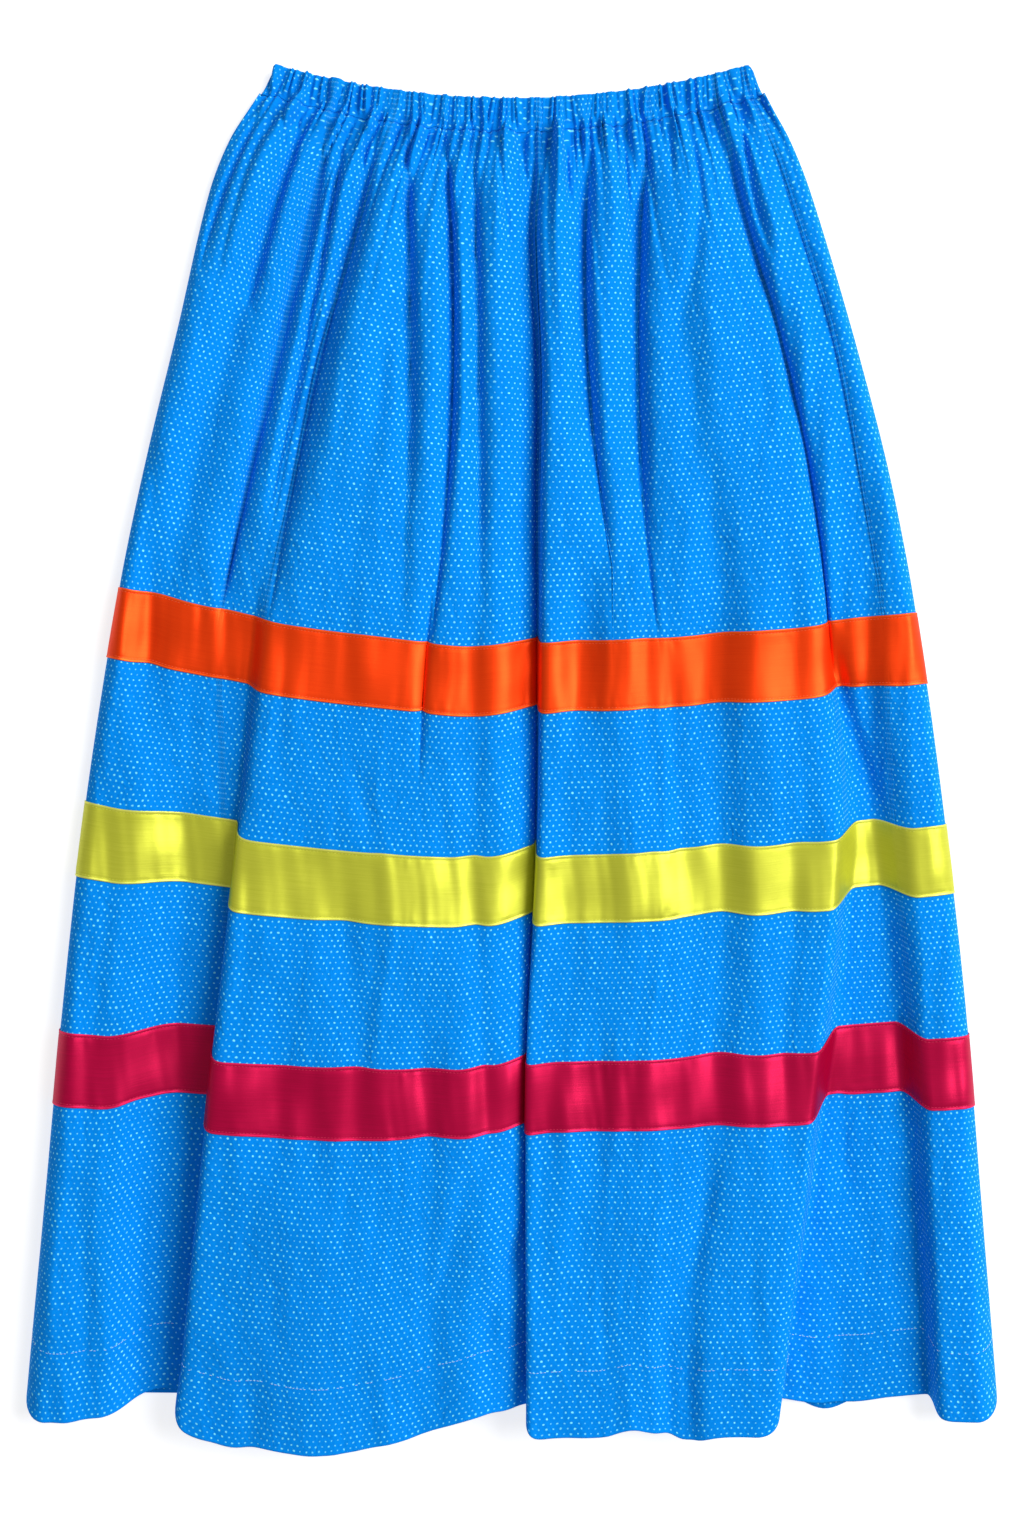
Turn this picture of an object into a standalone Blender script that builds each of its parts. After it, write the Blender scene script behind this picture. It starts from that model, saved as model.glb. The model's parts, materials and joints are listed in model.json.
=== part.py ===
"""Ribbon skirt laid flat on its back, front up, in Blender 4.5.

A full cotton skirt is gathered on an elastic casing and carries three satin ribbons all round.
It lies on the plane z = 0, with the waist at +Y, the hem at -Y and the wearer's left at +X.
The front panel rises from the side folds into broad flutes, and the back panel lies under it.
Every piece is one closed solid, and neighbours are 0.3 mm apart.
"""

import bpy
import numpy as np

# Driving sizes in millimetres.
CLOTH_WALL = 1.2
HEM_WALL = 2.2
RIBBON_WALL = 1.0
SEAM_GAP = 0.3
RIBBON_WIDTH = 50.0
SKIRT_LENGTH = 963.0
BAND_DEPTH = 25.0
BAND_THICKNESS = 8.5
BAND_WALL = 3.5
BAND_ROUNDING = 1.0
BAND_ROUNDING_DEPTH = 1.5
BAND_COLUMNS = 20
BAND_TURN_STEPS = 6
HEM_TURN = 47.5
HEM_STEP = 1.0
RIBBON_TOPS = {"orange": 391.0, "yellow": 544.0, "magenta": 696.0}
# The origin is under the middle of the skirt's box, this far above the line that arcs are given from.
ORIGIN_RISE = 6.4

# The side fold: its bulge stands at this height, and the seam is tucked in under it.
BULGE_HEIGHT = 5.0
BULGE_GROWTH = 2.0
TUCK_UNDER = 6.0
TUCK_ANGLES = (80.0, 52.0, 26.0)
ROLL_ANGLES = (0.0, 22.0, 44.0, 64.0)

# Sections across the skirt, each at its distance v below the waist edge, measured on the cloth.
# A section is an arc: middle_y is its lowest point, and its ends rise towards the waist.
# The other columns are the places in x of the side folds and of the long folds between them.
PLAN_NAMES = ("v", "middle_y", "left_rise", "right_rise", "left", "flute_end", "left_box",
              "middle_fold", "right_box", "right_flute", "right")
PLAN = (
    (0.0, 475.0, 25.0, 25.0, -173.0, -150.0, -82.0, 20.0, 145.0, 165.0, 175.0),
    (25.0, 451.0, 28.0, 26.0, -181.0, -160.0, -85.0, 20.0, 148.0, 172.0, 182.0),
    (60.0, 416.0, 29.5, 28.0, -202.0, -176.0, -98.0, 19.0, 157.0, 187.0, 200.0),
    (100.0, 376.0, 31.0, 30.0, -217.0, -188.0, -110.0, 17.0, 166.0, 200.0, 215.0),
    (200.0, 276.0, 36.0, 30.0, -239.0, -210.0, -138.0, 21.0, 194.0, 230.0, 245.0),
    (300.0, 178.0, 40.0, 29.0, -262.0, -230.0, -158.0, 20.0, 215.0, 249.0, 271.0),
    (391.0, 91.0, 39.0, 21.0, -281.0, -244.0, -176.0, 20.0, 226.0, 264.0, 290.0),
    (544.0, -51.0, 35.0, 19.0, -305.0, -256.0, -194.0, 18.0, 238.0, 272.0, 311.0),
    (696.0, -190.0, 17.0, 14.0, -323.0, -264.0, -210.0, 11.0, 224.0, 285.0, 327.0),
    (963.0, -449.0, 2.0, 2.0, -347.0, -277.0, -236.0, 12.0, 196.0, 301.0, 348.0),
)

# Heights of the cloth between the long folds, and the radius of the rolled side.
# A high flute slips towards the hem: slip is how far, for each millimetre of its height.
HEIGHT_NAMES = ("v", "left_flute", "left_hollow", "left_box", "right_box", "right_hollow",
                "right_flute", "roll", "slip")
HEIGHTS = (
    (25.0, 7.8, 7.8, 7.8, 7.8, 7.8, 7.8, 5.0, 0.0),
    (100.0, 15.0, 14.0, 18.0, 18.0, 15.0, 15.0, 9.0, 0.0),
    (200.0, 19.0, 16.0, 22.0, 22.0, 17.0, 18.0, 12.0, 0.0),
    (300.0, 21.0, 17.0, 25.0, 25.0, 17.0, 20.0, 14.0, 0.1),
    (391.0, 22.0, 18.0, 27.0, 26.0, 18.0, 21.0, 15.0, 0.3),
    (544.0, 22.0, 12.0, 31.0, 28.0, 11.0, 21.0, 17.0, 0.6),
    (696.0, 26.0, 10.0, 38.0, 31.0, 9.5, 26.0, 20.0, 0.75),
    (963.0, 31.0, 9.0, 39.0, 40.0, 9.0, 31.0, 25.0, 0.67),
)

# Long fold edges: over what width the cloth turns down, and how far the front layer laps over.
# middle_dip is how deep the cloth left of the middle fold runs under it.
EDGE_NAMES = ("v", "left_box_turn", "left_box_lap", "middle_dip", "middle_lap",
              "right_box_turn", "right_box_lap", "right_flute_turn", "right_flute_lap")
EDGES = (
    (25.0, 14.0, 0.0, 1.0, 0.0, 12.0, 0.0, 24.0, 0.0),
    (100.0, 18.0, 0.0, 5.0, 0.0, 12.0, 0.0, 30.0, 0.0),
    (200.0, 22.0, 0.0, 7.0, 1.0, 12.0, 1.0, 34.0, 0.0),
    (300.0, 24.0, 0.0, 7.0, 1.0, 11.0, 1.5, 36.0, 0.0),
    (391.0, 22.0, 0.0, 7.0, 1.0, 11.0, 2.0, 36.0, 0.0),
    (544.0, 10.0, 4.0, 8.0, 2.5, 24.0, 0.0, 34.0, 0.0),
    (696.0, 9.0, 6.0, 9.0, 4.0, 22.0, 0.0, 24.0, 0.0),
    (963.0, 9.0, 7.0, 18.0, 6.0, 10.0, 5.0, 10.0, 6.0),
)

# Turns of the folds that keep one width all the way down, and of the fold that counts as soft.
FLUTE_END_TURN = 52.0
MIDDLE_TURN = 9.0
MIDDLE_SOFT = 42.0
SOFT_TURN = 22.0
# How quickly a sharp fold rolls up, and how quickly and how far out its layers lap.
ROLL_STEEPNESS = 1.6
LAP_STEEPNESS = 2.2
LAP_REACH = 30.0

# Grooves and troughs that run down from the gathers, each from v_start to v_end.
# left_soft and right_soft are the widths over which their two sides come up again.
# The last is a broad ridge, so its depth is negative.
GROOVE_NAMES = ("v_start", "v_end", "x_start", "x_middle", "x_end", "depth", "left_soft",
                "right_soft")
GROOVES = (
    (40.0, 340.0, -153.0, -193.0, -198.0, 4.0, 8.0, 16.0),
    (60.0, 430.0, -140.0, -174.0, -186.0, 6.0, 5.0, 18.0),
    (25.0, 400.0, -86.0, -136.0, -174.0, 6.0, 9.0, 8.0),
    (25.0, 330.0, -66.0, -74.0, -77.0, 3.0, 14.0, 12.0),
    (25.0, 380.0, -52.0, -45.0, -50.0, 5.0, 6.0, 6.0),
    (25.0, 360.0, -26.0, -29.0, -25.0, 3.0, 10.0, 8.0),
    (25.0, 340.0, 58.0, 54.0, 72.0, 5.0, 12.0, 6.0),
    (25.0, 400.0, 96.0, 88.0, 104.0, 6.0, 16.0, 6.0),
    (200.0, 900.0, 168.0, 156.0, 118.0, 4.0, 24.0, 18.0),
    (640.0, 1200.0, -56.0, -58.0, -50.0, 4.0, 16.0, 18.0),
    (720.0, 1300.0, -136.0, -138.0, -140.0, -8.0, 45.0, 48.0),
)

# A groove begins before its v_start, over a length that grows with it, and fades towards its v_end.
GROOVE_LEAD = 12.0
GROOVE_ONSET = 20.0
ONSET_SHARE = 0.2
FADE_SHARE = 0.45

# Places where the cloth hangs lower than its section's arc: by how much, and how far round.
HANG_NAMES = ("v", "x", "v_reach", "x_reach", "down")
HANGS = (
    (400.0, -35.0, 90.0, 36.0, 3.5),
    (963.0, -138.0, 180.0, 62.0, 7.0),
    (963.0, 232.0, 150.0, 34.0, 8.0),
)

# Distances down the skirt at which the front panel's mesh has a row.
ROW_STEPS = (26.0, 45.0, 70.0, 105.0, 150.0, 205.0, 265.0, 330.0, 391.0, 441.0, 492.0, 544.0, 594.0,
             645.0, 696.0, 746.0, 800.0, 860.0, 914.5, 915.5, 963.0)
# Spans between long folds, and how many mesh columns each has.
SPANS = (("left", "left_box", 10), ("left_box", "middle_fold", 13), ("middle_fold", "right_box", 12),
         ("right_box", "right_flute", 7), ("right_flute", "right", 6))
COLUMN_CROWDING = 0.82

# The back panel: its sides lie just inside the side folds, and its hem ends a little higher.
BACK_INSET = 2.0
BACK_HEM_SHORT = 12.0
BACK_COLUMNS = 22
BACK_RIBBON_INSET = 4.0
RIBBON_MARGIN = 1.0
BACK_ROWS = (26.0, 110.0, 220.0, 310.0, 387.0, 390.7, 441.3, 445.0, 540.0, 543.7, 594.3, 598.0,
             692.0, 695.7, 746.3, 750.0, 830.0, 914.5, 915.5, 963.0)

MATERIALS = {
    "dotted_cotton": ((0.004, 0.27, 0.90), 0.85),
    "orange_satin": ((0.95, 0.10, 0.02), 0.35),
    "yellow_satin": ((0.66, 0.66, 0.09), 0.35),
    "magenta_satin": ((0.62, 0.005, 0.07), 0.35),
}


def column(names, rows, name):
    """One named column of a table."""
    place = names.index(name)
    return [row[place] for row in rows]


def smooth_read(names, rows, name, v):
    """A named column read at v with a cubic through the table's rows."""
    knots = column(names, rows, "v")
    values = column(names, rows, name)
    v = min(max(v, knots[0]), knots[-1])
    last = len(knots) - 1
    span = max(i for i in range(last) if knots[i] <= v)
    slopes = []
    for i in (span, span + 1):
        before = max(i - 1, 0)
        after = min(i + 1, last)
        slopes.append((values[after] - values[before]) / (knots[after] - knots[before]))
    width = knots[span + 1] - knots[span]
    t = (v - knots[span]) / width
    start = (2 * t**3 - 3 * t**2 + 1) * values[span] + (t**3 - 2 * t**2 + t) * width * slopes[0]
    end = (-2 * t**3 + 3 * t**2) * values[span + 1] + (t**3 - t**2) * width * slopes[1]
    return start + end


def plan(name, v):
    return smooth_read(PLAN_NAMES, PLAN, name, v)


def height(name, v):
    return smooth_read(HEIGHT_NAMES, HEIGHTS, name, v)


def edge(name, v):
    return smooth_read(EDGE_NAMES, EDGES, name, v)


def ease(t):
    """A smooth step from 0 to 1."""
    t = np.clip(t, 0.0, 1.0)
    return t * t * (3.0 - 2.0 * t)


def fade(v, v_start, v_end):
    """Strength of a groove along its length: quicker to start than to end."""
    length = v_end - v_start
    start = ease((v - v_start + GROOVE_LEAD) / (GROOVE_ONSET + ONSET_SHARE * length))
    return float(start * ease((v_end - v) / (FADE_SHARE * length)))


def arc_y(x, v):
    """Place along the skirt of a section's arc at x."""
    left = (x / plan("left", v)) ** 2 * plan("left_rise", v)
    right = (x / plan("right", v)) ** 2 * plan("right_rise", v)
    return plan("middle_y", v) - ORIGIN_RISE + np.where(x < 0.0, left, right)


def hang(x, v):
    """How much lower than the arc the cloth hangs at x."""
    total = np.zeros_like(x)
    for row in HANGS:
        place = dict(zip(HANG_NAMES, row))
        v_away = (v - place["v"]) / place["v_reach"]
        x_away = (x - place["x"]) / place["x_reach"]
        total += place["down"] * np.exp(-(v_away ** 2 + x_away ** 2))
    return total


def groove_depth(x, v):
    """How deep the gathers' grooves and troughs are along a section."""
    total = np.zeros_like(x)
    for row in GROOVES:
        groove = dict(zip(GROOVE_NAMES, row))
        v_start = groove["v_start"]
        v_end = groove["v_end"]
        if v_start - GROOVE_LEAD < v < v_end:
            t = max((v - v_start) / (v_end - v_start), 0.0)
            centre = (groove["x_start"] * (1 - t) * (1 - 2 * t) + groove["x_middle"] * 4 * t * (1 - t)
                      + groove["x_end"] * t * (2 * t - 1))
            away = x - centre
            soft = np.where(away < 0.0, groove["left_soft"], groove["right_soft"])
            total += groove["depth"] * fade(v, v_start, v_end) * np.exp(-((away / soft) ** 2))
    return total


def turn_up(away, turn):
    """Rise from 0 behind a fold to 1 in front of it: even on a soft fold, rolled on a sharp one."""
    even = ease(away / turn + 0.5)
    ahead = np.maximum(away / turn + 0.5, 0.0)
    rolled = 1.0 - np.exp(-ROLL_STEEPNESS * ahead ** ROLL_STEEPNESS)
    sharpness = min(max(2.0 * (SOFT_TURN - turn) / SOFT_TURN, 0.0), 1.0)
    return even + (rolled - even) * sharpness


def between_folds(x, v):
    """Height of the cloth as it steps from one long fold to the next."""
    dip = edge("middle_dip", v)
    left_box = height("left_box", v)
    z = np.full_like(x, height("left_flute", v))
    fall = height("left_hollow", v) - height("left_flute", v)
    z += fall * turn_up(x - plan("flute_end", v), FLUTE_END_TURN)
    z += (left_box - height("left_hollow", v)) * turn_up(x - plan("left_box", v), edge("left_box_turn", v))
    middle = x - plan("middle_fold", v)
    up = turn_up(middle, MIDDLE_TURN)
    under = dip * np.exp(-((np.minimum(middle, 0.0) / MIDDLE_SOFT) ** 2))
    z += (height("right_box", v) - left_box + dip) * up - under
    fall = height("right_box", v) - height("right_hollow", v)
    z -= fall * (1.0 - turn_up(plan("right_box", v) - x, edge("right_box_turn", v)))
    climb = height("right_flute", v) - height("right_hollow", v)
    z += climb * turn_up(x - plan("right_flute", v), edge("right_flute_turn", v))
    return z


def lap_shift(x, v):
    """Sideways shift that laps the front layer of a fold over the layer behind it."""
    laps = (("left_box", "left_box_lap", edge("left_box_turn", v)),
            ("middle_fold", "middle_lap", MIDDLE_TURN),
            ("right_box", "right_box_lap", edge("right_box_turn", v)),
            ("right_flute", "right_flute_lap", edge("right_flute_turn", v)))
    total = np.zeros_like(x)
    for fold, lap, turn in laps:
        away = x - plan(fold, v)
        sideways = np.tanh(LAP_STEEPNESS * away / turn) * np.exp(-((away / LAP_REACH) ** 2))
        total -= edge(lap, v) * sideways
    return total


def spaced(first, last, count):
    """Places from first to last, crowded towards both ends."""
    t = np.arange(count) / count
    return first + (last - first) * (t - COLUMN_CROWDING * np.sin(2 * np.pi * t) / (2 * np.pi))


def front_row(v):
    """Outer points of the front panel along one section, from seam to seam."""
    roll = height("roll", v)
    roll_out = roll * (1.0 - np.cos(np.radians(ROLL_ANGLES)))
    left = plan("left", v)
    right = plan("right", v)
    spans = [left + roll_out]
    for first, last, count in SPANS:
        start = left + roll_out[-1] if first == "left" else plan(first, v)
        end = right - roll_out[-1] if last == "right" else plan(last, v)
        places = spaced(start, end, count)
        spans.append(places[1:] if first == "left" else places)
    spans.append(right - roll_out[::-1])
    x = np.concatenate(spans)
    crown = between_folds(x, v) - groove_depth(x, v)
    side = np.minimum(x - left, right - x)
    rolled = np.sqrt(1.0 - (1.0 - np.clip(side / roll, 0.0, 1.0)) ** 2)
    bulge = BULGE_HEIGHT + BULGE_GROWTH * v / SKIRT_LENGTH
    z = bulge + (crown - bulge) * rolled
    slip = height("slip", v) * z + hang(x, v)
    x_lapped = x + lap_shift(x, v)
    under_z, under_in = tucked_side(v, bulge)
    x_all = np.concatenate([left + under_in, x_lapped, right - under_in[::-1]])
    z_all = np.concatenate([under_z, z, under_z[::-1]])
    slip_all = np.concatenate([np.full(len(under_in), slip[0]), slip, np.full(len(under_in), slip[-1])])
    x_arc = np.concatenate([left + under_in, x, right - under_in[::-1]])
    return np.stack([x_all, arc_y(x_arc, v) - slip_all, z_all], axis=1)


def tucked_side(v, bulge):
    """Heights and insets of the cloth that curls from the bulge down to the side seam."""
    angles = np.radians(TUCK_ANGLES)
    seam_height = back_lift(v) + wall_at(v) + SEAM_GAP
    under_z = bulge - (bulge - seam_height) * np.sin(angles) / np.sin(angles[0])
    return under_z, TUCK_UNDER * (1.0 - np.cos(angles))


def wall_at(v):
    """Thickness of a panel's wall, which the turned-up hem makes thicker."""
    return HEM_WALL if v > SKIRT_LENGTH - HEM_TURN - HEM_STEP / 2 else CLOTH_WALL


def back_lift(v):
    """Height of the back panel's underside: it lies on the floor, or on its own ribbon."""
    for top in RIBBON_TOPS.values():
        if top - RIBBON_MARGIN < v < top + RIBBON_WIDTH + RIBBON_MARGIN:
            return RIBBON_WALL + SEAM_GAP
    return 0.0


def grid_normals(grid):
    """Outward unit normals of a grid of points."""
    down = np.gradient(grid, axis=0)
    across = np.gradient(grid, axis=1)
    normals = np.cross(down, across)
    return normals / np.linalg.norm(normals, axis=2, keepdims=True)


def grid_faces(rows, columns, start, outward):
    faces = []
    for i in range(rows - 1):
        for j in range(columns - 1):
            a = start + i * columns + j
            b = a + columns
            faces.append((a, b, b + 1, a + 1) if outward else (a, a + 1, b + 1, b))
    return faces


def border(rows, columns):
    """Indices round the edge of a grid, in the sense of its outward faces."""
    left = [i * columns for i in range(rows)]
    bottom = [(rows - 1) * columns + j for j in range(1, columns)]
    right = [i * columns + columns - 1 for i in range(rows - 2, -1, -1)]
    top = [j for j in range(columns - 2, 0, -1)]
    return left + bottom + right + top


def shell(name, outer, inner, material):
    """A closed wall between two grids of points, with its outer side facing out."""
    rows, columns = outer.shape[:2]
    count = rows * columns
    points = np.concatenate([outer.reshape(-1, 3), inner.reshape(-1, 3)]) * 0.001
    faces = grid_faces(rows, columns, 0, True) + grid_faces(rows, columns, count, False)
    rim = border(rows, columns)
    for first, second in zip(rim, rim[1:] + rim[:1]):
        faces.append((second, first, first + count, second + count))
    return add_object(name, points.tolist(), faces, material)


def add_object(name, points, faces, material):
    """A triangulated mesh object with its material."""
    mesh = bpy.data.meshes.new(name)
    mesh.from_pydata(points, [], triangles(faces))
    mesh.update()
    mesh.materials.append(materials[material])
    piece = bpy.data.objects.new(name, mesh)
    bpy.context.scene.collection.objects.link(piece)
    return piece


def triangles(faces):
    """Quads split from their first corner, so that both sides of a wall split alike."""
    split = []
    for first, second, third, fourth in faces:
        split.append((first, second, third))
        split.append((first, third, fourth))
    return split


def make_material(name, colour, roughness):
    material = bpy.data.materials.new(name)
    material.use_nodes = True
    surface = material.node_tree.nodes["Principled BSDF"]
    surface.inputs["Base Color"].default_value = (*colour, 1.0)
    surface.inputs["Roughness"].default_value = roughness
    surface.inputs["Metallic"].default_value = 0.0
    return material


def make_front():
    """The front panel with its turned-up hem, and the front lengths of the three ribbons."""
    grid = np.array([front_row(v) for v in ROW_STEPS])
    normals = grid_normals(grid)
    walls = np.array([wall_at(v) for v in ROW_STEPS])
    shell("front_panel", grid, grid - normals * walls[:, None, None], "dotted_cotton")
    ends = len(TUCK_ANGLES) - 1
    for colour, top in RIBBON_TOPS.items():
        first = ROW_STEPS.index(top)
        rows = slice(first, first + 2)
        cloth = grid[rows, ends:-ends]
        out = normals[rows, ends:-ends]
        low = cloth + out * SEAM_GAP
        shell("ribbon_" + colour + "_front", low + out * RIBBON_WALL, low, colour + "_satin")


def flat_grid(v_rows, inset, columns, lifts):
    """A grid of points that lies flat, with the side folds' outline moved in."""
    rows = []
    for v, lift in zip(v_rows, lifts):
        x = np.linspace(plan("left", v) + inset, plan("right", v) - inset, columns)
        short = BACK_HEM_SHORT * max(v - BAND_DEPTH, 0.0) / (SKIRT_LENGTH - BAND_DEPTH)
        rows.append(np.stack([x, arc_y(x, v) - short, np.full_like(x, lift)], axis=1))
    return np.array(rows)


def make_back():
    """The back panel, flat on the floor, and the lengths of ribbon that lie under it."""
    lifts = [back_lift(v) for v in BACK_ROWS]
    low = flat_grid(BACK_ROWS, BACK_INSET, BACK_COLUMNS, lifts)
    high = low + np.array([[[0.0, 0.0, wall_at(v)]] for v in BACK_ROWS])
    shell("back_panel", high, low, "dotted_cotton")
    for colour, top in RIBBON_TOPS.items():
        edges = (top, top + RIBBON_WIDTH)
        under = flat_grid(edges, BACK_RIBBON_INSET, BACK_COLUMNS, (0.0, 0.0))
        over = under + np.array([0.0, 0.0, RIBBON_WALL])
        shell("ribbon_" + colour + "_back", over, under, colour + "_satin")


def stadium(inset, v):
    """Points round the flattened waistband at v, moved in by inset from its outer face."""
    radius = BAND_THICKNESS / 2.0
    left = plan("left", v) + radius
    right = plan("right", v) - radius
    x_top = np.linspace(left, right, BAND_COLUMNS)
    angles = np.pi * np.arange(1, BAND_TURN_STEPS) / BAND_TURN_STEPS
    reach = radius - inset
    over = [(x, radius + reach) for x in x_top]
    east = [(right + reach * np.sin(a), radius + reach * np.cos(a)) for a in angles]
    under = [(x, radius - reach) for x in x_top[::-1]]
    west = [(left - reach * np.sin(a), radius - reach * np.cos(a)) for a in angles]
    return [(x, float(arc_y(np.array(x), v)), z) for x, z in over + east + under + west]


def make_waistband():
    """The casing: one flattened ring round the waist, with a slit where its walls meet."""
    v_rows = (0.0, BAND_ROUNDING_DEPTH, BAND_DEPTH - BAND_ROUNDING_DEPTH, BAND_DEPTH)
    insets = (BAND_ROUNDING, 0.0, 0.0, BAND_ROUNDING)
    outer = [stadium(inset, v) for v, inset in zip(v_rows, insets)]
    inner = [stadium(BAND_WALL - inset, v) for v, inset in zip(v_rows, insets)]
    loop = outer + inner[::-1]
    count = len(outer[0])
    points = [tuple(0.001 * c for c in point) for ring in loop for point in ring]
    faces = []
    for i in range(len(loop)):
        below = (i + 1) % len(loop)
        for j in range(count):
            right = (j + 1) % count
            faces.append((i * count + j, below * count + j, below * count + right, i * count + right))
    add_object("waistband", points, faces, "dotted_cotton")


for old in list(bpy.data.objects):
    bpy.data.objects.remove(old, do_unlink=True)

materials = {name: make_material(name, *values) for name, values in MATERIALS.items()}
make_waistband()
make_front()
make_back()
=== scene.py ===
# %% [markdown]
# # A ribbon skirt, laid flat
# A ribbon skirt is a full cotton skirt, gathered on a waist elastic, with bands of satin ribbon
# sewn all round it. This one is laid on its back on a pale floor: its two panels lie on each
# other, and the spare width of the front one stands up in broad, soft folds. The whole form is
# worked out from a few short tables of sizes, because cloth that hangs from gathers follows a
# rule: each fold starts at the casing and opens on its way to the hem.

# %% The frame
import json
import math
from collections import namedtuple

import bpy
import numpy as np
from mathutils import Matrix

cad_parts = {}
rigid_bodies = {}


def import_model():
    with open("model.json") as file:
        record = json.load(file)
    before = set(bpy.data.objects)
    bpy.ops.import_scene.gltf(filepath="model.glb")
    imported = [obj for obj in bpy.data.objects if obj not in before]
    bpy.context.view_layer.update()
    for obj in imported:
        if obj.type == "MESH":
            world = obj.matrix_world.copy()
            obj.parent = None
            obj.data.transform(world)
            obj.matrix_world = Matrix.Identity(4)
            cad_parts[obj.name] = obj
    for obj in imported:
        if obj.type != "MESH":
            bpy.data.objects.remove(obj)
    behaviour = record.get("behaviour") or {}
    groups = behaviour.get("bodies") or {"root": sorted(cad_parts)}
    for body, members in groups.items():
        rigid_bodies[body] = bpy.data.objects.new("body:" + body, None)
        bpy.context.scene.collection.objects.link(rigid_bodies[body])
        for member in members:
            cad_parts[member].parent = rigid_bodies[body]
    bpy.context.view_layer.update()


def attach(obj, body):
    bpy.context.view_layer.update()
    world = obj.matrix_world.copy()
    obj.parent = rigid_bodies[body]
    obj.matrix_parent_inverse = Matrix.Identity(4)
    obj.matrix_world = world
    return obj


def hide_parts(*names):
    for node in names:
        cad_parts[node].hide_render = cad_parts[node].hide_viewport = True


for old in list(bpy.data.objects):
    bpy.data.objects.remove(old, do_unlink=True)
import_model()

# %% [markdown]
# ## Sizes
# Every length is in millimetres until a mesh is made. v is the distance down the cloth from the
# waist edge, and x runs across the skirt. The ribbons are 50 mm wide, the casing is 25 mm deep,
# and the hem is turned up by 47.5 mm. Real quilting cotton is 0.3 mm thick; the shells here are a
# little thicker, so that the turned-up hem shows its rounded edge.

# %% Sizes of the skirt
MM = 0.001
CLOTH_WALL = 0.8
HEM_WALL = 1.6
RIBBON_WALL = 0.5
SEAM_GAP = 0.3
RIBBON_WIDTH = 50
SKIRT_LENGTH = 963
BAND_DEPTH = 25
BAND_THICKNESS = 8.5
BAND_WALL = 3.5
HEM_STITCH = 915.5
PANEL_TOP = 25.1
RIBBON_TOPS = {"orange": 391, "yellow": 544, "magenta": 696}
ORIGIN_RISE = 6.4
BULGE_HEIGHT = 5
BULGE_GROWTH = 2
TUCK_UNDER = 6
TUCK_ANGLES = (80, 52, 26)
ROLL_ANGLES = (0, 11, 22, 33, 44, 54, 63, 72)
print("skirt:", SKIRT_LENGTH, "mm long; ribbons at", RIBBON_TOPS)

# %% [markdown]
# ## Sections across the skirt
# The frame's solids were made from sections across the skirt, and the cloth here repeats them.
# Each row of a table is one section: where its arc lies, where the long folds are, how high the
# cloth stands between them, and how sharply it turns at each fold. A cubic curve joins the rows,
# so that a fold runs smoothly from one section to the next.

# %% Tables of the sections
def table(fields, rows):
    """Rows of numbers with named places; a value left off at a row's end is 0."""
    named_row = namedtuple("Row", fields, defaults=(0,))
    return [named_row(*row) for row in rows]


PLAN = table("v middle_y left_rise right_rise left flute_end left_box middle_fold right_box "
             "right_flute right", (
    (0, 475, 25, 25, -173, -150, -82, 20, 145, 165, 175),
    (25, 451, 28, 26, -181, -160, -85, 20, 148, 172, 182),
    (60, 416, 29.5, 28, -202, -176, -98, 19, 157, 187, 200),
    (100, 376, 31, 30, -217, -188, -110, 17, 166, 200, 215),
    (200, 276, 36, 30, -239, -210, -138, 21, 194, 230, 245),
    (300, 178, 40, 29, -262, -230, -158, 20, 215, 249, 271),
    (391, 91, 39, 21, -281, -244, -176, 20, 226, 264, 290),
    (544, -51, 35, 19, -305, -256, -194, 18, 238, 272, 311),
    (696, -190, 17, 14, -323, -264, -210, 11, 224, 285, 327),
    (963, -449, 2, 2, -347, -277, -236, 12, 190, 301, 348),
))
HEIGHTS = table("v left_flute left_hollow left_box right_box right_hollow right_flute roll slip", (
    (25, 9.5, 9.5, 9.5, 9.5, 9.5, 9.5, 4.5, 0),
    (60, 12.5, 12, 14, 14, 12.5, 12.5, 6, 0),
    (100, 15, 14, 18, 18, 15, 15, 7, 0),
    (200, 19, 16, 22, 22, 17, 18, 8.5, 0),
    (300, 21, 16.5, 25, 25, 16.5, 21.5, 10, 0.1),
    (391, 22, 17, 27, 26, 17, 23, 11, 0.3),
    (544, 22, 12, 31, 28, 8, 23, 12, 0.6),
    (696, 26, 10, 38, 31, 9.5, 26, 14, 0.75),
    (963, 31, 9, 39, 40, 9, 31, 18, 0.67),
))
EDGES = table("v left_box_turn left_box_lap middle_dip middle_fold_lap right_box_turn "
              "right_box_lap right_flute_turn right_flute_lap", (
    (25, 14, 0, 2, 0, 12, 0, 24, 0),
    (100, 18, 0, 8, 0, 10, 0, 30, 0),
    (200, 18, 0, 12, 1, 10, 1, 30, 0),
    (300, 18, 0, 15, 1.5, 9, 1.5, 32, 0),
    (391, 16, 0, 16, 2, 10, 2, 32, 0),
    (544, 10, 4, 16, 3, 20, 0, 30, 0),
    (696, 8, 6, 13, 4, 20, 0, 22, 0),
    (963, 9, 7, 18, 6, 10, 5, 15, 5),
))
print(len(PLAN), "sections of the plan,", len(HEIGHTS), "of heights,", len(EDGES), "of folds")


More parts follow.
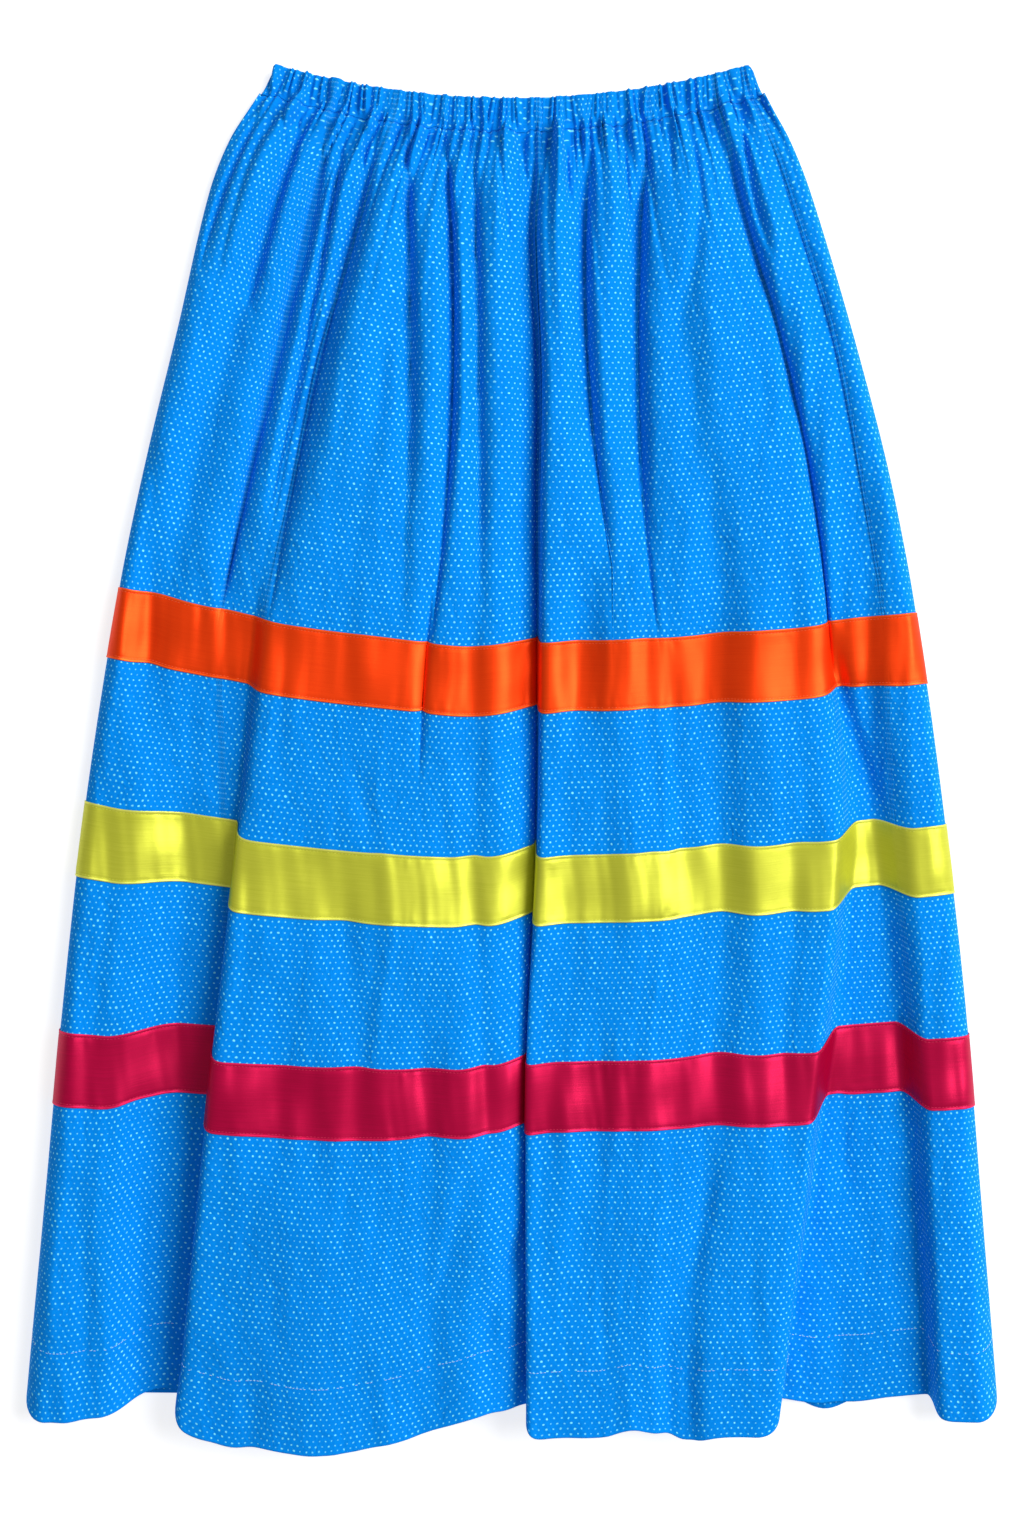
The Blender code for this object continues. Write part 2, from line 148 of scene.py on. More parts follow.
# %% Reading a table
def smooth_read(rows, name, v):
    """A named column read at v with a cubic through the table's rows."""
    knots = [row.v for row in rows]
    values = [getattr(row, name) for row in rows]
    v = min(max(v, knots[0]), knots[-1])
    last = len(knots) - 1
    span = max(i for i in range(last) if knots[i] <= v)
    slopes = []
    for i in (span, span + 1):
        before = max(i - 1, 0)
        after = min(i + 1, last)
        slopes.append((values[after] - values[before]) / (knots[after] - knots[before]))
    width = knots[span + 1] - knots[span]
    t = (v - knots[span]) / width
    start = (2 * t**3 - 3 * t**2 + 1) * values[span] + (t**3 - 2 * t**2 + t) * width * slopes[0]
    end = (-2 * t**3 + 3 * t**2) * values[span + 1] + (t**3 - t**2) * width * slopes[1]
    return start + end


def plan(name, v):
    """Where a line of the skirt is at v."""
    return smooth_read(PLAN, name, v)


def height(name, v):
    """How high the cloth stands at v."""
    return smooth_read(HEIGHTS, name, v)


def edge(name, v):
    """How sharp a fold is at v, or how far it laps."""
    return smooth_read(EDGES, name, v)


def ease(t):
    """A smooth step from 0 to 1."""
    t = np.clip(t, 0, 1)
    return t * t * (3 - 2 * t)


def grow(v, start, reach):
    """A smooth growth from 0 at start to 1 one reach further on; many pairs below hold both."""
    return float(ease((v - start) / reach))


def bell(away, width):
    """A soft hump: 1 in its middle, about a third at one width from it."""
    return np.exp(-((away / width) ** 2))


def quarter_round(t):
    """Height of a quarter circle: steep from 0 where t is 0, level at 1 where t is 1."""
    return np.sqrt(1 - (1 - np.clip(t, 0, 1)) ** 2)


print("waist %.0f mm, hem %.0f mm across" % (plan("right", 0) - plan("left", 0),
                                             plan("right", 963) - plan("left", 963)))

# %% [markdown]
# ## Grooves from the gathers
# On the real skirt each groove is a place where the gathered cloth folds in. It starts narrow at
# the casing and fades as the cloth spreads. They could be simulated, but a simulation gives its
# own folds, not these. So each is one row of a table: where it starts and ends, its path, its
# depth, how softly each of its sides comes up again, and the depth of the sharp slit in its
# bottom, if it has one. A row with a depth below 0 is a ridge. The main folds have slits of their
# own, swells are round places that stand up, and the tilts are the soft waves of the cloth where
# the stiffer ribbons are sewn to it.

# %% Grooves, slits, swells and tilts
GROOVE_FIELDS = "v_start v_end x_start x_middle x_end depth left_soft right_soft slit"
LONG_GROOVES = table(GROOVE_FIELDS, (
    (60, 540, -159, -228, -274, 8.5, 14, 14),
    (40, 400, -131, -172, -209, 9, 4, 13, 8),
    (25, 400, -92, -139, -174, 8.5, 6, 11, 3),
    (25, 340, -76, -72, -74, 5.5, 6, 6),
    (25, 395, -48, -42, -58, 5.8, 8, 4.5, 4.5),
    (25, 440, -28, -24, -24, 4.8, 10, 6),
    (25, 340, 57, 54, 72, 7.2, 13, 5, 3),
    (25, 400, 99, 90, 105, 8, 16, 6, 3.5),
    (36, 335, -119, -147, -177, 6.5, 4, 7, 4.5),
    (120, 460, 114, 138, 162, 4.8, 13, 12),
    (330, 840, 146, 148, 146, 6.5, 22, 17),
    (740, 1150, 140, 118, 90, 4.5, 20, 13),
    (640, 1200, -56, -58, -50, 3, 15, 15),
    (720, 1300, -136, -138, -140, -7, 45, 48),
))
SHORT_GROOVES = table(GROOVE_FIELDS, (
    (30, 170, -177, -207, -224, 4, 3.5, 6, 1.5),
    (36, 185, -148, -174, -192, 7.5, 3.5, 7, 7.5),
    (20, 60, -163, -163, -164, 3, 3, 3),
    (25, 70, -150, -154, -156, 3, 3, 3, 1),
    (25, 90, -104, -106, -112, 4, 3, 5, 1.5),
    (27, 62, -73, -74, -76, 3, 3, 3, 1),
    (140, 295, -83, -92, -99, 3.5, 7, 9),
    (25, 120, -9, -6, -1, 3.5, 4, 6, 1),
    (25, 70, 8, 9, 12, 3, 3, 4, 1),
    (25, 66, 28, 24, 21, 3, 3, 3, 1),
    (25, 95, 39, 40, 43, 4, 3, 5, 1.5),
    (25, 120, 79, 83, 86, 4, 4, 5, 1.5),
    (25, 75, 112, 114, 115, 3, 3, 5, 1),
    (25, 200, 128, 132, 110, 4, 6, 9),
    (25, 150, 164, 172, 190, 4.5, 4, 6, 2),
    (255, 520, -257, -258, -258, 3.8, 9, 9),
    (300, 480, -200, -202, -204, 3, 8, 14),
    (340, 500, -55, -62, -66, 3, 6, 4, 3),
    (430, 860, -28, -24, -12, 3, 10, 7),
    (330, 480, 52, 48, 46, 4, 11, 13),
    (360, 600, 92, 98, 101, 2.5, 8, 9),
    (390, 640, 112, 118, 124, 2.5, 7, 10),
    (500, 760, 206, 196, 190, 2.5, 14, 12),
    (560, 760, -120, -112, -108, 2.5, 16, 12),
    (700, 1150, -270, -268, -271, 3, 9, 10),
    (800, 1200, -301, -300, -301, 3, 9, 10),
    (760, 900, 60, 52, 46, 2, 14, 16),
    (850, 1100, -18, -16, -14, 3, 9, 9),
    (840, 1150, 240, 232, 222, 2.5, 10, 14),
    (770, 900, -32, -44, -62, 2.6, 5, 10),
    (820, 935, 4, -14, -36, 2.6, 5, 10),
    (760, 905, 146, 132, 112, 2.6, 10, 5),
    (720, 850, 232, 238, 250, 2.2, 9, 6),
    (400, 560, 230, 246, 270, 5, 12, 6),
    (470, 560, -118, -104, -84, 2, 6, 10),
    (870, 1150, -178, -186, -196, 2.5, 10, 12),
    (850, 1150, 110, 111, 112, 2.5, 7, 7),
    (850, 1150, 126, 126, 126, 2, 7, 6),
))
SLITS = table("line v_start v_end beside depth width", (
    ("middle_fold", 35, 1400, -3, 5.5, 1.6),
    ("right_box", 45, 440, 0, 6.5, 1.9),
    ("left_box", 60, 340, -8, 2, 1.6),
))
SWELLS = table("v x v_reach x_reach rise", (
    (150, 186, 60, 8, 3.5),
    (230, 208, 60, 8, 3.5),
    (320, 226, 70, 8, 3.5),
))
# Place, width and rise of each tilt, for each ribbon's middle line.
TILTS = {
    416: ((-274, 6, 1.2), (-257, 9, -2), (-195, 7, 1.2), (-180, 6, -1.2), (-165, 7, 1.5),
          (-20, 12, -2.2), (0, 8, 1.6), (38, 9, 1.8), (64, 14, -2.6), (100, 22, 3.6),
          (148, 20, -4), (188, 20, 4), (240, 9, -2), (262, 8, -1.8), (286, 6, 1.2)),
    569: ((-308, 7, 1.5), (-273, 17, -4.5), (-238, 12, 2.6), (-188, 8, 1.8), (-108, 24, -2.5),
          (-52, 20, 3.3), (-12, 12, -1.8), (34, 13, 2.6), (72, 14, -2.2), (112, 24, 4.3),
          (160, 16, -2.5), (205, 14, -2), (250, 8, 1.5), (304, 8, 1.5)),
    721: ((-306, 8, 1.8), (-279, 17, -4.2), (-243, 8, 2.2), (-178, 26, 4.6), (-130, 14, -3),
          (-100, 14, -2), (-66, 12, 1.8), (-24, 7, 1.8), (-8, 7, -1.5), (47, 10, 2.4),
          (68, 10, -2), (106, 18, 4), (152, 15, -3.3), (187, 10, 2.6), (238, 8, 2.2),
          (282, 8, -1.5), (312, 7, 1.5)),
}
print(len(LONG_GROOVES), "long grooves and", len(SHORT_GROOVES), "short ones")


# %% Depth of the grooves
SLIT_WIDTH = 1.5
OPENING = (50, 160)
NARROW_SHARE = 0.5
SHARP_SHARE = 1.35
SLIT_LEAD = 4
SLIT_ONSET = 36
GROOVE_LEAD = 12
GROOVE_ONSET = 20
ONSET_SHARE = 0.2
FADE_SHARE = 0.45
TILT_REACH = 52
TILT_SHARE = 1.3
TILT_LEAST = 0.01


def fade(v, v_start, v_end):
    """Strength of a groove along its length: quicker to start than to end."""
    length = v_end - v_start
    start = ease((v - v_start + GROOVE_LEAD) / (GROOVE_ONSET + ONSET_SHARE * length))
    return float(start * ease((v_end - v) / (FADE_SHARE * length)))


def groove_path(groove, v):
    """Where a groove's lowest line is at v: a parabola through its three places."""
    t = min(max((v - groove.v_start) / (groove.v_end - groove.v_start), 0), 1)
    return (groove.x_start * (1 - t) * (1 - 2 * t) + groove.x_middle * 4 * t * (1 - t)
            + groove.x_end * t * (2 * t - 1))


def hollows(grooves, x, v, narrow=1):
    """Depth of the soft hollows of all the grooves that reach v."""
    total = np.zeros_like(x)
    for groove in grooves:
        if groove.v_start - GROOVE_LEAD < v < groove.v_end:
            away = x - groove_path(groove, v)
            soft = np.where(away < 0, groove.left_soft, groove.right_soft) * narrow
            total += groove.depth * fade(v, groove.v_start, groove.v_end) * bell(away, soft)
    return total


def slit_shape(away, v, v_start, v_end, width):
    """A slit with sharp lips that opens and closes smoothly along its length."""
    open_share = ease((v - v_start) / SLIT_ONSET) * ease((v_end - v) / SLIT_ONSET)
    return open_share * np.exp(-np.abs(away) / width)


def nearness(place, x, v):
    """A soft round hump about one place of the cloth."""
    return np.exp(-(((v - place.v) / place.v_reach) ** 2 + ((x - place.x) / place.x_reach) ** 2))


def groove_depth(x, v):
    """How deep all the grooves and slits together are along a section, less the swells."""
    opened = grow(v, *OPENING)
    narrow = NARROW_SHARE + (1 - NARROW_SHARE) * opened
    sharp = SHARP_SHARE + (1 - SHARP_SHARE) * opened
    grooves = LONG_GROOVES + SHORT_GROOVES
    total = hollows(grooves, x, v, narrow)
    for groove in grooves:
        if groove.slit:
            total += groove.slit * sharp * slit_shape(
                x - groove_path(groove, v), v, groove.v_start + SLIT_LEAD,
                groove.v_end - SLIT_LEAD, SLIT_WIDTH)
    for slit in SLITS:
        total += slit.depth * sharp * slit_shape(
            x - plan(slit.line, v) - slit.beside, v, slit.v_start, slit.v_end, slit.width)
    for swell in SWELLS:
        total -= swell.rise * nearness(swell, x, v)
    return total


def ribbon_tilts(x, v):
    """Soft tilts of the cloth at the ribbons: down to the right for a rise above 0."""
    total = np.zeros_like(x)
    for middle_v, rows in TILTS.items():
        near = bell(v - middle_v, TILT_REACH)
        for place, width, rise in rows if near > TILT_LEAST else ():
            away = (x - place) / width
            total -= TILT_SHARE * near * rise * away * bell(away, 1)
    return total


across = np.linspace(plan("left", 100), plan("right", 100), 400)
print("deepest groove 100 mm down: %.1f mm" % groove_depth(across, 100.0).max())

# %% [markdown]
# ## Fine gathers
# The casing draws about 1.8 m of cloth into 0.7 m of elastic, so between the long grooves the
# cloth stands up in many small ripples at the seam, 7 to 28 mm apart. They are uneven, with round
# tops and narrow valleys, and the small ones die out first. A sum of three uneven waves gives
# that. The waves follow the folds, because they are drawn on the seam and carried down with it.

# %% Uneven lines and ripples
FOLD_LINES = ("left", "left_box", "middle_fold", "right_box", "right_flute", "right")
WANDER_SHARES = (1, 0.61, 0.38)
WANDER_LEVEL = 1.4
RIPPLE_SWAY = 0.3
RIPPLE_ROUND = 0.62
RIPPLE_EVEN = 0.6


def wander(x, scale, seed):
    """A smooth uneven line between about -1 and 1, with bends about as long as scale."""
    rng = np.random.default_rng(seed)
    total = np.zeros_like(x)
    for share in WANDER_SHARES:
        total += share * np.sin(2 * np.pi * x / (scale * share) + rng.uniform(0, 2 * np.pi))
    return total / WANDER_LEVEL


def seam_place(x, v):
    """Where on the waist seam the cloth at x comes from."""
    return np.interp(x, [plan(name, v) for name in FOLD_LINES],
                     [plan(name, BAND_DEPTH) for name in FOLD_LINES])


def ripple(x, spacing, seed):
    """Uneven ripples with round tops and narrow valleys, from 0 to 1."""
    phase = x / spacing + RIPPLE_SWAY * wander(x, 3.1 * spacing, seed)
    tops = np.abs(np.sin(np.pi * phase)) ** RIPPLE_ROUND
    return tops * (RIPPLE_EVEN + (1 - RIPPLE_EVEN) * wander(x, 2.3 * spacing, seed + 1))


# %% Gathers at the seam
GATHERS = table("spacing rise reach seed", (
    (7.4, 7.5, 24, 11),
    (13.5, 9.5, 50, 23),
    (28, 5, 90, 37),
))
RIPPLE_LEVEL = 0.45
REACH_UNEVEN = 0.45
SEAM_PINCH = 2.4
PINCH_WIDTH = 2.8
HEAD_RISE = 3
HEAD_AT = 33
HEAD_REACH = 7
SEAM_WAVES = table("size rise seed", ((8.7, 0.55, 51), (23, 0.9, 53)))
SEAM_WAVE_REACH = 9


def seam_wave(seam_x):
    """How far down or up the pinched seam wanders from its even line."""
    return sum(rise * wander(seam_x, size, seed) for size, rise, seed in SEAM_WAVES)


def gathers(x, v):
    """Height that the fine gathers add, which is about 0 on average."""
    seam_x = seam_place(x, v)
    total = np.zeros_like(x)
    for spacing, rise, reach, seed in GATHERS:
        uneven_reach = reach * (1 + REACH_UNEVEN * wander(seam_x, 2.9 * spacing, seed + 2))
        strength = np.exp(-max(v - BAND_DEPTH, 0) / uneven_reach)
        total += rise * strength * (ripple(seam_x, spacing, seed) - RIPPLE_LEVEL)
    smallest = GATHERS[0]
    heads = bell(v - HEAD_AT, HEAD_REACH) * ripple(seam_x, smallest.spacing, smallest.seed)
    return total + HEAD_RISE * heads - SEAM_PINCH * bell(v - BAND_DEPTH, PINCH_WIDTH)


seam = np.linspace(plan("left", 25), plan("right", 25), 400)
print("gathers at the seam: %.1f mm from valley to top" % np.ptp(gathers(seam, BAND_DEPTH)))


# %% Flutes and crumple
FLUTE_GROOVES = (1, 3, 4, 5, 6, 7)
DOME_GROWTH = (26, 60)
DOME_FADE = (180, 240)
DOME_SHARE = 0.2
DOME_WIDTH = 48
DOME_LEAN = 0.8
DOME_ROUND = 0.8
DOME_LEVEL = 0.6
CRUMPLE = table("size rise", ((90, 0.35), (52, 0.22), (31, 0.12)))
CRUMPLE_SEED = 5
CRUMPLE_GROWTH = (40, 160)
CREASES = table("size rise drift seed", ((46, 0.65, 9, 71), (21, 0.29, 5, 73)))
CREASE_SLANT = 0.7


def fold_lines(v):
    """Every line at which cloth goes down into a fold, and whether that is a main fold."""
    lines = [(plan(name, v), True) for name in FOLD_LINES]
    lines += [(groove_path(LONG_GROOVES[number], v), False) for number in FLUTE_GROOVES]
    return sorted(lines)


def domes(x, v):
    """The round backs of the flutes between the grooves, which flatten out at the ribbons."""
    grown = grow(v, *DOME_GROWTH) * (1 - grow(v, *DOME_FADE))
    total = np.zeros_like(x)
    if grown <= 0:
        return total
    lines = [line for line, main in fold_lines(v)]
    for first, second in zip(lines, lines[1:]):
        t = np.clip((x - first) / (second - first), 0, 1)
        dome = np.sin(np.pi * t ** DOME_LEAN) ** DOME_ROUND - DOME_LEVEL
        rise = DOME_SHARE * min(second - first, DOME_WIDTH)
        total += rise * np.where((x > first) & (x < second), dome, 0)
    return total * grown


def crumple(x, v):
    """The slight unevenness of worn cotton, about a millimetre up and down."""
    rng = np.random.default_rng(CRUMPLE_SEED)
    total = np.zeros_like(x)
    for size, rise in CRUMPLE:
        for _ in range(3):
            angle = rng.uniform(0, np.pi)
            along = x * np.cos(angle) + v * np.sin(angle)
            total += rise * np.sin(2 * np.pi * along / size + rng.uniform(0, 2 * np.pi))
    for size, rise, drift, seed in CREASES:
        sway = drift * math.sin(2 * math.pi * v / (9 * size) + seed)
        strength = 0.6 + 0.4 * wander(x + CREASE_SLANT * v, 5 * size, seed + 1)
        total += rise * strength * wander(x + sway, size, seed)
    return total * grow(v, *CRUMPLE_GROWTH)


print("crumple at the hem: %.1f mm" % np.ptp(crumple(seam, SKIRT_LENGTH)))

# %% [markdown]
# ## Heights between the long folds
# Between two long folds the cloth is nearly level, and at a fold it turns down to the next level,
# softly or sharply. A sharp fold also laps over the cloth behind it, so its points move sideways.
# At its sides the front panel rolls over and tucks in, down to the side seam. The rows of HANGS
# are places where the cloth lies lower than its arc, or higher when the number is below 0; they
# draw the hem's line.

# %% The front panel's section
HANGS = table("v x v_reach x_reach down", (
    (400, -35, 90, 36, 3.5),
    (963, -138, 180, 62, 7),
    (963, 232, 150, 34, 8),
    (963, -26, 110, 26, -11.5),
    (963, 2, 110, 12, -4.5),
    (963, 84, 110, 13, -5),
    (963, 122, 90, 14, 6.5),
    (963, -193, 110, 18, 4.5),
    (963, -252, 110, 16, -4.5),
))
BACK_ON_FLOOR = 0.3
BACK_ON_RIBBON = 1.3
FLUTE_END_TURN = 52
MIDDLE_TURN = 6
MIDDLE_SOFT = 22
MIDDLE_EDGE = 3.5
MIDDLE_EDGE_WIDTH = 15
MIDDLE_EDGE_GROWTH = (40, 80)
SOFT_TURN = 22
RIGHT_BOX_BACK = 5
RIGHT_BOX_FORWARD = (420, 100)
ROLL_STEEPNESS = 1.6
LAP_STEEPNESS = 2.2
LAP_REACH = 30


def turn_up(away, turn):
    """Rise from 0 behind a fold to 1 before it: even on a soft fold, rolled on a sharp one."""
    even = ease(away / turn + 0.5)
    ahead = np.maximum(away / turn + 0.5, 0)
    rolled = 1 - np.exp(-ROLL_STEEPNESS * ahead ** ROLL_STEEPNESS)
    sharpness = min(max(2 * (SOFT_TURN - turn) / SOFT_TURN, 0), 1)
    return even + (rolled - even) * sharpness


def between_folds(x, v):
    """Height of the cloth as it steps from one long fold to the next."""
    dip = edge("middle_dip", v)
    left_flute = height("left_flute", v)
    left_hollow = height("left_hollow", v)
    left_box = height("left_box", v)
    right_box = height("right_box", v)
    right_hollow = height("right_hollow", v)
    right_flute = height("right_flute", v)
    z = left_flute + (left_hollow - left_flute) * turn_up(x - plan("flute_end", v), FLUTE_END_TURN)
    z += (left_box - left_hollow) * turn_up(x - plan("left_box", v), edge("left_box_turn", v))
    middle = x - plan("middle_fold", v)
    under = dip * bell(np.minimum(middle, 0), MIDDLE_SOFT)
    rolled_edge = MIDDLE_EDGE * bell(middle, MIDDLE_EDGE_WIDTH)
    rolled_edge *= grow(v, *MIDDLE_EDGE_GROWTH)
    z += (right_box - left_box + dip + rolled_edge) * turn_up(middle, MIDDLE_TURN) - under
    pulled_back = RIGHT_BOX_BACK * (1 - grow(v, *RIGHT_BOX_FORWARD))
    step = plan("right_box", v) - pulled_back
    z -= (right_box - right_hollow) * (1 - turn_up(step - x, edge("right_box_turn", v)))
    climb = turn_up(x - plan("right_flute", v), edge("right_flute_turn", v))
    return z + (right_flute - right_hollow) * climb


def lap_shift(x, v):
    """Sideways shift that laps the front layer of a fold over the layer behind it."""
    total = np.zeros_like(x)
    for fold in ("left_box", "middle_fold", "right_box", "right_flute"):
        turn = MIDDLE_TURN if fold == "middle_fold" else edge(fold + "_turn", v)
        away = x - plan(fold, v)
        sideways = np.tanh(LAP_STEEPNESS * away / turn) * bell(away, LAP_REACH)
        total -= edge(fold + "_lap", v) * sideways
    return total


def arc_y(x, v):
    """Place along the skirt of a section's arc at x."""
    left = (x / plan("left", v)) ** 2 * plan("left_rise", v)
    right = (x / plan("right", v)) ** 2 * plan("right_rise", v)
    return plan("middle_y", v) - ORIGIN_RISE + np.where(x < 0, left, right)


def hang(x, v):
    """How much lower than the arc the cloth hangs at x."""
    return sum(place.down * nearness(place, x, v) for place in HANGS)


def back_lift(v):
    """Height of the back panel's underside: just off the floor, or on its own ribbon."""
    for top in RIBBON_TOPS.values():
        if top - 1 < v < top + RIBBON_WIDTH + 1:
            return BACK_ON_RIBBON
    return BACK_ON_FLOOR


def wall_at(v):
    """Thickness of a panel, which is doubled where the hem is turned up."""
    return HEM_WALL if v > HEM_STITCH - 0.5 else CLOTH_WALL


# %% [markdown]
# ## Columns and the cloth's own measure
# The mesh has a row for each of 177 distances down the skirt and a column for each of 435 thread
# lines across it. At the seam the columns are even, for the gathers, and further down they crowd
# to the folds. The printed dots have to follow the cloth, so the piece carries a UV map in
# metres of cloth: v down the skirt, and u measured along the surface across it. At the waist much
# cloth is lost in the grooves, so u jumps there, and every flute keeps its own thread lines. Last,
# the hem's corners are rounded up where it meets a fold.

# %% Columns
LINES = ("left", 1, "left_box", 4, "middle_fold", 6, 7, "right_box", "right_flute", "right")
SPAN_COUNTS = (56, 38, 62, 60, 44, 38, 62, 34, 20)
CROWDING = 0.68
SUB_REACH = 391
CROWDING_GROWTH = (25, 160)


def spaced(first, last, count, crowding):
    """Places from first to last, crowded towards both ends."""
    t = np.arange(count) / count
    return first + (last - first) * (t - crowding * np.sin(2 * np.pi * t) / (2 * np.pi))


def line_places(v):
    """Places of the lines that columns follow; a faded groove's line keeps its share."""
    above = min(v, SUB_REACH)
    known = [plan(line, above) if isinstance(line, str)
             else groove_path(LONG_GROOVES[line], above) for line in LINES]
    mains = [line for line in LINES if isinstance(line, str)]
    return np.interp(known, [plan(line, above) for line in mains],
                     [plan(line, v) for line in mains])


def column_places(v):
    """Where the columns are in x at v, from side fold to side fold."""
    crowding = CROWDING * grow(v, *CROWDING_GROWTH)
    roll_out = height("roll", v) * (1 - np.cos(np.radians(ROLL_ANGLES)))
    left = plan("left", v)
    right = plan("right", v)
    lines = line_places(v)
    lines[0] = left + roll_out[-1]
    lines[-1] = right - roll_out[-1]
    spans = [left + roll_out[:-1]]
    for first, last, count in zip(lines, lines[1:], SPAN_COUNTS):
        spans.append(spaced(first, last, count, crowding))
    spans.append(right - roll_out[::-1])
    return np.concatenate(spans)


print("columns:", len(column_places(SKIRT_LENGTH)))


# %% The cloth's own measure
LOWEST = 3.8
LOWEST_SHARPNESS = 1.2
SEAM_LOWEST = 1
SEAM_LOWEST_REACH = 5
HIDDEN_WIDTH = 4
SMOOTHING = 21


def from_side(x, v):
    """Distance in from the nearer side fold."""
    return np.minimum(x - plan("left", v), plan("right", v) - x)


def bulge_at(v):
    """Height of the side folds' outermost line."""
    return BULGE_HEIGHT + BULGE_GROWTH * v / SKIRT_LENGTH


def front_heights(x, v, fine, rolled=True):
    """Heights of the front panel's outer face between its side folds."""
    crown = between_folds(x, v) - groove_depth(x, v)
    if fine:
        crown = crown + gathers(x, v) + domes(x, v) + crumple(x, v) + ribbon_tilts(x, v)
        lowest = LOWEST + SEAM_LOWEST * math.exp(-(v - BAND_DEPTH) / SEAM_LOWEST_REACH)
        above = (crown - lowest) * LOWEST_SHARPNESS
        crown = lowest + np.logaddexp(0, above) / LOWEST_SHARPNESS
    if not rolled:
        return crown
    round_edge = quarter_round(from_side(x, v) / height("roll", v))
    return bulge_at(v) + (crown - bulge_at(v)) * round_edge


def run_length(x, z):
    """Length along a line of points, from its first point to each of them."""
    return np.append(0, np.cumsum(np.hypot(np.diff(x), np.diff(z))))


def arc_length(x, v):
    """Length of cloth from the left side fold to each x, with the fine gathers left out."""
    return run_length(x, front_heights(x, v, False))


def centres(v, x, length):
    """Cloth measure at the middle of every flute and of the main fold's region it is in."""
    lines = fold_lines(v)
    mains = [line for line, main in lines if main]
    middles = []
    for (first, _), (second, _) in zip(lines, lines[1:]):
        middle = 0.5 * (first + second)
        region = max(i for i in range(len(mains) - 1) if mains[i] <= middle)
        middles.append((middle, 0.5 * (mains[region] + mains[region + 1])))
    return np.interp(middles, x, length)


def centres_at(v):
    """The centres of the section at v."""
    x = column_places(v)
    return centres(v, x, arc_length(x, v))


HEM_CENTRES = centres_at(SKIRT_LENGTH)
FLUTE_CENTRES = centres_at(SUB_REACH)


def cloth_measure(x, z, v):
    """u of the cloth at each x of a section, in millimetres."""
    length = arc_length(x, v)
    now = centres(v, x, length)
    shift = HEM_CENTRES[:, 1] - now[:, 1]
    if v < SUB_REACH:
        shift = shift + (FLUTE_CENTRES[:, 0] - FLUTE_CENTRES[:, 1]) - (now[:, 0] - now[:, 1])
    u = length + shift[0]
    for (line, _), before, after in zip(fold_lines(v)[1:-1], shift, shift[1:]):
        u = u + (after - before) * ease((x - line) / HIDDEN_WIDTH + 0.5)
    extra = run_length(x, z) - length
    window = np.ones(SMOOTHING) / SMOOTHING
    smooth = np.convolve(np.pad(extra, SMOOTHING // 2, mode="edge"), window, mode="valid")
    return u + extra - smooth


hem_x = column_places(SKIRT_LENGTH)
print("cloth across the front's hem: %.0f mm" % arc_length(hem_x, SKIRT_LENGTH)[-1])


# %% Rows of the front panel
SLIP_CHANGE = (780, 183)
SEAM_CLEAR = 0.4
HEM_CORNER_GROWTH = (925, 38)
HEM_CORNERS = table("line side reach rise", (
    ("left_box", 1, 24, 22),
    ("middle_fold", 1, 15, 14),
    ("right_box", -1, 22, 24),
))
CORNER_BEHIND = 7


def corner_rise(x, v):
    """How far the hem's corners round up beside the folds."""
    total = np.zeros_like(x)
    for line, side, reach, rise in HEM_CORNERS:
        away = (x - plan(line, v)) * side
        total += rise * np.where(away > -CORNER_BEHIND, 1 - quarter_round(away / reach), 0)
    return total * grow(v, *HEM_CORNER_GROWTH)


def front_row(v):
    """Outer points of the front panel along one section, from seam to seam, and their u."""
    x = column_places(v)
    z = front_heights(x, v, True)
    rolled = front_heights(x, v, False)
    crown = front_heights(x, v, False, rolled=False)
    at_hem = grow(v, *SLIP_CHANGE)
    slip = height("slip", v) * (crown + (rolled - crown) * at_hem) + hang(x, v)
    bulge = bulge_at(v)
    angles = np.radians(TUCK_ANGLES)
    seam_height = back_lift(v) + wall_at(v) + SEAM_GAP + SEAM_CLEAR
    under_z = bulge - (bulge - seam_height) * np.sin(angles) / np.sin(angles[0])
    under_in = TUCK_UNDER * (1 - np.cos(angles))
    left_x = plan("left", v) + under_in
    right_x = plan("right", v) - under_in[::-1]
    x_arc = np.concatenate([left_x, x, right_x])
    x_all = np.concatenate([left_x, x + lap_shift(x, v), right_x])
    z_all = np.concatenate([under_z, z, under_z[::-1]])
    seam_share = math.exp(-(v - BAND_DEPTH) / SEAM_WAVE_REACH)
    slip = np.pad(slip, len(angles), mode="edge") + seam_wave(seam_place(x_arc, v)) * seam_share
    y_all = arc_y(x_arc, v) - slip + corner_rise(x_arc, v)
    u = cloth_measure(x, z, v)
    curl = run_length(np.append(0, under_in[::-1]), np.append(bulge, under_z[::-1]))[:0:-1]
    u_all = np.concatenate([u[0] - curl, u, u[-1] + curl[::-1]])
    return np.stack([x_all, y_all, z_all], axis=1), u_all


def row_list(stops, steps):
    """Distances down the skirt: even steps between each pair of stops."""
    rows = [stops[0]]
    for start, end, step in zip(stops, stops[1:], steps):
        count = max(int(round((end - start) / step)), 1)
        rows.extend(start + (end - start) * (i + 1) / count for i in range(count))
    return rows


def spread(values, count):
    """A grid with one value all along each of its rows."""
    return np.repeat(np.array(values)[:, None], count, axis=1)


